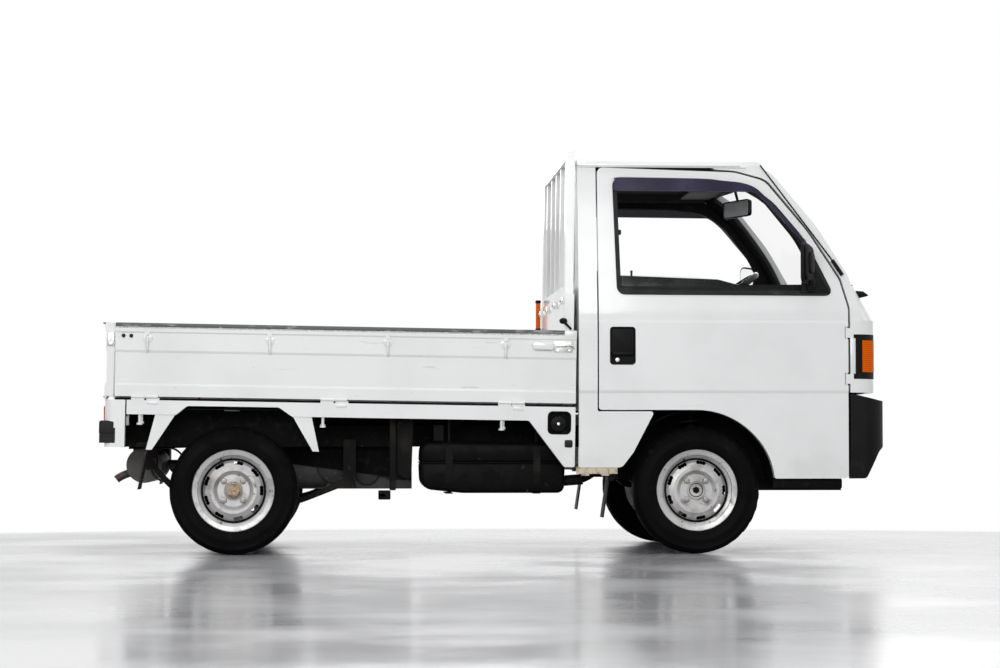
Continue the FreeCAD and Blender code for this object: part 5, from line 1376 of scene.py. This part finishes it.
@piece("body_white")
def roof_brow(bm):
    """The sloping brow that closes the roof's front under its crown."""
    low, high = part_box("roof_panel")
    foot, reach, steps = low.z + 0.014, 0.540, 18
    outline = [(-reach, foot - 0.006)]
    for i in range(steps + 1):
        y = reach * (2 * i / steps - 1)
        outline.append((y, max(foot, high.z - 0.022 - y * y / 8)))
    outline.append((reach, foot - 0.006))
    for vert in add_slab(bm, outline, "yz", (high.x - 0.0045, high.x - 0.0015)):
        vert.co.x -= max(0.0, vert.co.z - foot) / BROW_SLOPE


@piece("interior_black")
def dash_vents(bm):
    for y in (-0.520, -0.050, 0.050, 0.520):
        for i in range(5):
            z = 0.980 + i * 0.010
            add_block(bm, (1.196, 1.206), (y - 0.042, y + 0.042), (z, z + 0.004), edge=0.001)
        corners = rectangle((y - 0.048, y + 0.048), (0.972, 1.032), 0.006)
        add_frame(bm, corners, "yz", 0.005, (1.192, 1.204))


@piece("interior_black")
def dash_panels(bm):
    """The instrument hood, the radio's blank plate, the heater slides and the glove box lid."""
    add_block(bm, (1.175, 1.290), (-0.480, -0.180), (1.075, 1.118), edge=0.018, segments=3)
    add_block(bm, (1.192, 1.206), (-0.085, 0.085), (0.905, 0.955), edge=0.003)
    add_block(bm, (1.190, 1.206), (-0.095, 0.095), (0.862, 0.898), edge=0.003)
    add_block(bm, (1.194, 1.206), (0.150, 0.560), (0.866, 0.962), edge=0.008)
    for y in (-0.060, 0.000, 0.060):
        add_rod(bm, (1.192, y, 0.880), (1.176, y, 0.880), 0.012, 0.010, sides=20, edge=0.002)


@piece("clear_lens")
def dash_dials(bm):
    for y in (-0.390, -0.270):
        add_rod(bm, (1.1760, y, 1.096), (1.1735, y, 1.096), 0.017, sides=28)
    add_rod(bm, (1.1760, -0.330, 1.096), (1.1735, -0.330, 1.096), 0.012, sides=24)


@piece("interior_black")
def cab_levers(bm):
    """Gear lever with its boot and knob, handbrake and pedals."""
    foot = TUNNEL_TOP
    add_rod(bm, (0.990, -0.060, foot), (0.990, -0.060, foot + 0.050), 0.045, 0.014, sides=20)
    stick = [(0.990, -0.060, foot + 0.030), (0.985, -0.060, foot + 0.170), (0.960, -0.062, foot + 0.290)]
    add_pipe(bm, stick, 0.006)
    add_ball(bm, (0.956, -0.062, foot + 0.302), 0.020)
    add_rod(bm, (0.820, -0.020, foot + 0.030), (1.000, -0.020, foot + 0.120), 0.012, sides=16, edge=0.002)
    for y in (-0.420, -0.330, -0.240):
        add_rod(bm, (1.250, y, 0.480), (1.320, y, 0.700), 0.007, sides=10)
        add_block(bm, (1.236, 1.252), (y - 0.030, y + 0.030), (0.460, 0.510), edge=0.004)


@piece("black_gloss", "hand_wheel")
def wheel_pad(bm):
    """The steering wheel's centre pad, square to the column."""
    made = add_block(bm, (-0.075, 0.075), (-0.055, 0.055), (-0.004, 0.022), edge=0.012, segments=3)
    low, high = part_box("steering_wheel")
    centre = Vector(((low.x + high.x) / 2, (low.y + high.y) / 2, (low.z + high.z) / 2))
    tilt = atan2(high.x - low.x, high.z - low.z)
    bmesh.ops.rotate(bm, cent=ORIGIN, matrix=Matrix.Rotation(-(pi / 2 - tilt), 3, "Y"), verts=made)
    bmesh.ops.translate(bm, vec=centre, verts=made)


@piece("belt_webbing", both=True)
def seat_belts(bm):
    """A seat belt from the door pillar's upper guide down to its reel."""
    path = [(-0.597, 1.330), (-0.612, 1.000), (-0.610, 0.700)]
    back = [(y + 0.0015, z) for y, z in reversed(path)]
    add_slab(bm, path + back, "yz", (0.430, 0.476))


@piece("interior_black", both=True)
def belt_guides(bm):
    add_block(bm, (0.420, 0.488), (-0.612, -0.596), (1.318, 1.340), edge=0.005)
    add_block(bm, (0.430, 0.510), (-0.625, -0.585), (0.650, 0.720), edge=0.006)


# ------------------------------------------------------------------ seats

SEAT_MIDDLE = 0.33
CHANNEL_SPACING = 0.085
CHANNEL_HALF = 0.014
CHANNEL_DEPTH = 0.006
# how far a cushion is drawn in before it swells, its mesh size and how far a point may move
CUSHION_INSET = 0.006
CUSHION_VOXEL = 0.009
CUSHION_SWELL = 0.016


def loose_parts(mesh):
    """The separate closed shells of a mesh, each as its own mesh."""
    bm = bmesh.new()
    bm.from_mesh(mesh)
    bmesh.ops.remove_doubles(bm, verts=bm.verts, dist=1e-5)
    left = set(bm.verts)
    groups = []
    while left:
        group, queue = set(), [left.pop()]
        while queue:
            vert = queue.pop()
            group.add(vert)
            for edge in vert.link_edges:
                other = edge.other_vert(vert)
                if other in left:
                    left.discard(other)
                    queue.append(other)
        groups.append(group)
    parts = []
    for group in groups:
        part = bmesh.new()
        copies = {vert: part.verts.new(vert.co) for vert in group}
        for face in {f for vert in group for f in vert.link_faces}:
            part.faces.new([copies[vert] for vert in face.verts])
        parts.append(part)
    bm.free()
    return parts


def shrink(bm, by):
    """Draws a shell in by a length on every side, so that it can swell back."""
    low = Vector([min(v.co[i] for v in bm.verts) for i in range(3)])
    high = Vector([max(v.co[i] for v in bm.verts) for i in range(3)])
    middle = (low + high) / 2
    for vert in bm.verts:
        for i in range(3):
            half = (high[i] - low[i]) / 2
            vert.co[i] = middle[i] + (vert.co[i] - middle[i]) * (half - by) / half


def remesh(obj):
    """Gives a cushion an even mesh."""
    modifier = obj.modifiers.new("remesh", "REMESH")
    modifier.mode = "VOXEL"
    modifier.voxel_size = CUSHION_VOXEL
    shape = obj.evaluated_get(bpy.context.evaluated_depsgraph_get())
    mesh = bpy.data.meshes.new_from_object(shape)
    obj.modifiers.clear()
    obj.data = mesh


def puff(obj, low, high):
    """Swells a cushion as cloth under pressure and keeps each point near its place and in the box."""
    cloth = obj.modifiers.new("cloth", "CLOTH")
    settings = cloth.settings
    settings.use_pressure = True
    settings.uniform_pressure_force = 4
    settings.effector_weights.gravity = 0
    settings.quality = 4
    settings.tension_stiffness = 12
    settings.compression_stiffness = 12
    settings.bending_stiffness = 0.6
    scene, steps = bpy.context.scene, 20
    for step in range(1, steps + 1):
        scene.frame_set(step)
    shape = obj.evaluated_get(bpy.context.evaluated_depsgraph_get())
    swollen = [vert.co.copy() for vert in shape.data.vertices]
    obj.modifiers.clear()
    scene.frame_set(1)
    for vert, spot in zip(obj.data.vertices, swollen):
        move = spot - vert.co
        if move.length > CUSHION_SWELL:
            move *= CUSHION_SWELL / move.length
        vert.co += move
        for i in range(3):
            vert.co[i] = min(max(vert.co[i], low[i] + 0.001), high[i] - 0.001)


def sew_channels(mesh):
    """Draws the cover in along five sewn channels that run front to back and up the backrest."""
    for vert in mesh.vertices:
        place = (abs(vert.co.y) - SEAT_MIDDLE) / CHANNEL_SPACING
        miss = abs(place - round(place)) * CHANNEL_SPACING
        if abs(round(place)) <= 2 and miss < CHANNEL_HALF:
            pull = CHANNEL_DEPTH * (1 - miss / CHANNEL_HALF) ** 2
            vert.co -= vert.normal * pull


def make_seats():
    bm = bmesh.new()
    for i, part in enumerate(loose_parts(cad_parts["seats"].data)):
        low = [min(v.co[k] for v in part.verts) for k in range(3)]
        high = [max(v.co[k] for v in part.verts) for k in range(3)]
        shrink(part, CUSHION_INSET)
        mesh = bpy.data.meshes.new(f"cushion_{i}")
        part.to_mesh(mesh)
        part.free()
        obj = add_object(f"cushion_{i}", mesh)
        remesh(obj)
        puff(obj, low, high)
        sew_channels(obj.data)
        bm.from_mesh(obj.data)
        bpy.data.objects.remove(obj)
    seats = finish_piece("seat_cushions", bm, "seat_vinyl", sharp=60)
    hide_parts("seats")


make_seats()


# ------------------------------------------------------------------ front and rear ends

HEAD_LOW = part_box("headlamps")[0]
TAIL_LOW, TAIL_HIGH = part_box("tail_lamps")
PLATE_HALF, PLATE_TALL = 0.165, 0.165


@piece("bright_steel", both=True)
def lamp_reflectors(bm):
    """The bright bowl behind a headlamp's glass."""
    add_block(bm, (HEAD_LOW.x - 0.012, HEAD_LOW.x - 0.004), (-0.560, -0.335), (0.742, 0.882), edge=0.002)
    profile = [(0.006, 0.0), (0.035, 0.008), (0.058, 0.024), (0.062, 0.024), (0.040, 0.004), (0.006, -0.004)]
    add_lathe(bm, profile, (HEAD_LOW.x + 0.004, -0.450, 0.812), "x", 36, closed=True)


def draw_plate(bm, x, low):
    """A blank number plate with its raised edge; its bolts are drawn with the plate mounts."""
    corners = rectangle((-PLATE_HALF, PLATE_HALF), (low, low + PLATE_TALL), 0.010)
    add_slab(bm, corners, "yz", (x - 0.0008, x + 0.0008))
    add_frame(bm, corners, "yz", 0.004, (x - 0.0022, x + 0.0022))


@piece("plate_white")
def front_plate(bm):
    draw_plate(bm, FRONT + 0.0048, 0.448)


@piece("plate_white")
def rear_plate(bm):
    draw_plate(bm, BACK + 0.012, 0.470)


@piece("black_plastic")
def plate_mounts(bm):
    add_block(bm, (FRONT - 0.002, FRONT + 0.0038), (-0.120, 0.120), (0.520, 0.590), edge=0.001)
    add_block(bm, (BACK + 0.0135, BACK + 0.026), (-0.120, 0.120), (0.500, 0.600), edge=0.001)
    add_block(bm, (BACK + 0.002, BACK + 0.030), (-0.045, 0.045), (0.640, 0.660), edge=0.004)
    for y in (-0.105, 0.105):
        add_rod(bm, (FRONT + 0.005, y, 0.595), (FRONT + 0.0095, y, 0.595), 0.008, sides=6)
        add_rod(bm, (BACK + 0.012, y, 0.617), (BACK + 0.0065, y, 0.617), 0.008, sides=6)


@piece("black_plastic")
def cowl_louvres(bm):
    """Raised louvres across the cowl."""
    low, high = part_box("cowl")
    x, z = (low.x + 0.050, high.x - 0.030), (high.z - 0.001, high.z + 0.0035)
    louvres, spacing = 24, 0.0487
    for i in range(louvres):
        y = -0.560 + i * spacing
        add_block(bm, x, (y - 0.004, y + 0.004), z, edge=0.0015)


@piece("rubber")
def screen_seal(bm):
    """The rubber that holds the windscreen, round its four bowed edges."""
    low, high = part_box("windscreen")
    bottom, top = low.z + 0.004, high.z - 0.006
    foot_x, lean, bow, flat = 1.402, 0.76, 0.044, 0.30
    run = []
    for z, side, way in ((bottom, 0.6325, 1), (top, 0.588, -1)):
        for y in (-side, -side * 0.75, -flat, 0.0, flat, side * 0.75, side):
            out = bow * min(1.0, (side - abs(y)) / (side - flat)) if abs(y) > flat else bow
            run.append((foot_x + out - lean * (z - bottom), y * way, z))
    add_pipe(bm, run, 0.009, closed=True, smooth=False, resolution=2)


@piece("black_plastic")
def nose_catches(bm):
    """The two catches of the panel between the headlamps."""
    for y in (-0.240, 0.240):
        add_rod(bm, (1.5815, y, 0.930), (1.5860, y, 0.930), 0.011, sides=20, edge=0.001)


@piece("body_white", both=True)
def lamp_cheeks(bm):
    """The nose's skin between the door's edge and the lamp unit."""
    add_block(bm, (1.4275, 1.4555), (-0.6962, -0.6740), (0.742, 0.888), edge=0.001)
    add_block(bm, (1.4275, 1.4420), (-0.6960, -0.6740), (0.680, 0.912), edge=0.001)


@piece("body_white", both=True)
def drip_rails(bm):
    """The drip rail that hides the gap over the door."""
    add_rod(bm, (CAB_BACK + 0.004, -0.6160, 1.6010), (1.010, -0.6160, 1.6010), 0.0032, sides=12)


@piece("black_plastic", both=True)
def washer_covers(bm):
    """The black wedge where the wiper spindle comes out at the cowl's corner."""
    wedge = [(1.462, 1.090, 0.004), (1.500, 1.087, 0.004), (1.526, 1.069, 0.004), (1.478, 1.058, 0.004)]
    add_slab(bm, wedge, "xz", (-0.610, -0.540), edge=0.003)


def add_lens_strip(bm, y):
    """A strip of another colour in the right tail lamp's lens."""
    x, z = (TAIL_LOW.x - 0.0012, TAIL_LOW.x + 0.004), (TAIL_LOW.z + 0.004, TAIL_HIGH.z - 0.004)
    add_block(bm, x, y, z, edge=0.002)


@piece("amber_lens", both=True)
def tail_amber(bm):
    add_lens_strip(bm, (-0.628, -0.548))


@piece("clear_lens", both=True)
def tail_clear(bm):
    add_lens_strip(bm, (-0.470, -0.405))


@piece("bright_steel", both=True)
def tail_screws(bm):
    z = TAIL_HIGH.z - 0.012
    for y in (-0.420, -0.612):
        add_rod(bm, (TAIL_LOW.x + 0.001, y, z), (TAIL_LOW.x - 0.003, y, z), 0.0045, sides=12)


@piece("amber_lens")
def guard_marker(bm):
    """The amber upright on the far end of the headboard."""
    add_block(bm, (0.2235, 0.2435), (0.588, 0.612), (0.978, 1.098), edge=0.004)


@piece("black_plastic")
def guard_black_parts(bm):
    """The marker's cap and foot, and the knob of the gate's drop pin."""
    add_block(bm, (0.2215, 0.2455), (0.586, 0.614), (1.096, 1.110), edge=0.003)
    add_block(bm, (0.2215, 0.2455), (0.586, 0.614), (0.964, 0.980), edge=0.002)
    add_ball(bm, (0.243, -0.652, 0.958), 0.0145, (1.15, 1, 0.9))
    add_rod(bm, (0.247, -0.652, 0.953), (0.276, -0.652, 0.924), 0.005, sides=12)


@piece("bright_steel")
def guard_clamps(bm):
    """The clamps that hold the guard's uprights, with their screws."""
    for y in (-0.590, -0.200, 0.200, 0.590):
        add_block(bm, (0.2375, 0.2440), (y - 0.022, y + 0.022), (1.030, 1.060), edge=0.001)
        for dy in (-0.013, 0.013):
            add_rod(bm, (0.238, y + dy, 1.045), (0.233, y + dy, 1.045), 0.0055, sides=6)


# ------------------------------------------------------------------ floor, light and camera


def background_rays(tree):
    """1 for camera, glossy and transmission rays, which see the plain white background."""
    path = add_node(tree, "ShaderNodeLightPath", {})
    total = path.outputs["Is Camera Ray"]
    for name in ("Is Glossy Ray", "Is Transmission Ray"):
        rays = {0: total, 1: path.outputs[name]}
        total = add_node(tree, "ShaderNodeMath", rays, operation="MAXIMUM").outputs[0]
    return total


def make_floor():
    """A pale polished floor that fades to the white background away from the truck."""
    bm = bmesh.new()
    bmesh.ops.create_grid(bm, x_segments=1, y_segments=1, size=30)
    mesh = bpy.data.meshes.new("studio_floor")
    bm.to_mesh(mesh)
    bm.free()
    f = Finish("studio_floor", (0.47, 0.47, 0.475), 0.13, {"Specular IOR Level": 0.35})
    f.stain((0.41, 0.41, 0.42), f.between(f.noise(0.35, 4), 0.40, 0.68))
    f.dull(0.26, f.between(f.noise(1.4, 5), 0.35, 0.75))
    f.bump(f.noise(1.1, 4), 0.012, 0.10)
    middle = {0: f.coords, 1: (0, -4.3, 0)}
    distance = f.node("ShaderNodeVectorMath", middle, operation="DISTANCE")
    fade_start, fade_end = 6.35, 6.75
    far = f.between(distance.outputs["Value"], fade_start, fade_end)
    white = f.node("ShaderNodeEmission", {})
    mask = f.times(far, background_rays(f.tree))
    shaders = {0: mask, 1: f.shader.outputs["BSDF"], 2: white.outputs["Emission"]}
    mix = f.node("ShaderNodeMixShader", shaders)
    f.tree.links.new(mix.outputs["Shader"], f.tree.nodes["Material Output"].inputs["Surface"])
    mesh.materials.append(f.material)
    add_object("studio_floor", mesh)


def make_world():
    world = bpy.data.worlds.new("studio")
    bpy.context.scene.world = world
    world.use_nodes = True
    tree = world.node_tree
    sky = tree.nodes["Background"]
    sky.inputs["Color"].default_value = (0.93, 0.95, 1.0, 1)
    sky.inputs["Strength"].default_value = 0.38
    white = add_node(tree, "ShaderNodeBackground", {"Color": (1, 1, 1, 1), "Strength": 1.0})
    shaders = {0: background_rays(tree), 1: sky.outputs["Background"], 2: white.outputs["Background"]}
    mix = add_node(tree, "ShaderNodeMixShader", shaders)
    tree.links.new(mix.outputs["Shader"], tree.nodes["World Output"].inputs["Surface"])


def make_lamp(name, place, aim, size, power):
    """A soft rectangular lamp that points at a place."""
    light = bpy.data.lights.new(name, "AREA")
    light.shape = "RECTANGLE"
    light.size, light.size_y = size
    light.energy = power
    lamp = add_object(name, light)
    lamp.location = place
    lamp.rotation_euler = (Vector(aim) - Vector(place)).to_track_quat("-Z", "Y").to_euler()


def make_camera():
    camera = add_object("camera", bpy.data.cameras.new("camera"))
    camera.data.lens = 91.5
    camera.data.sensor_width = 36
    camera.location = (-0.648, -11.07, 0.479)
    camera.rotation_euler = (radians(92.33), 0, radians(-3.46))
    bpy.context.scene.camera = camera


make_floor()
make_world()
make_lamp("overhead_lamp", (0, 0, 6), (0, 0, 0), (7, 5), 215)
make_lamp("near_lamp", (-1.5, -8.5, 3.0), (0, 0, 0.8), (6, 3), 335)
make_lamp("far_lamp", (1.5, 8.5, 3.6), (0, 0, 0.8), (6, 3), 160)
make_lamp("nose_lamp", (8, -1.5, 3.0), (0, 0, 0.8), (4, 3), 55)
make_camera()
bpy.context.scene.view_settings.view_transform = "Standard"
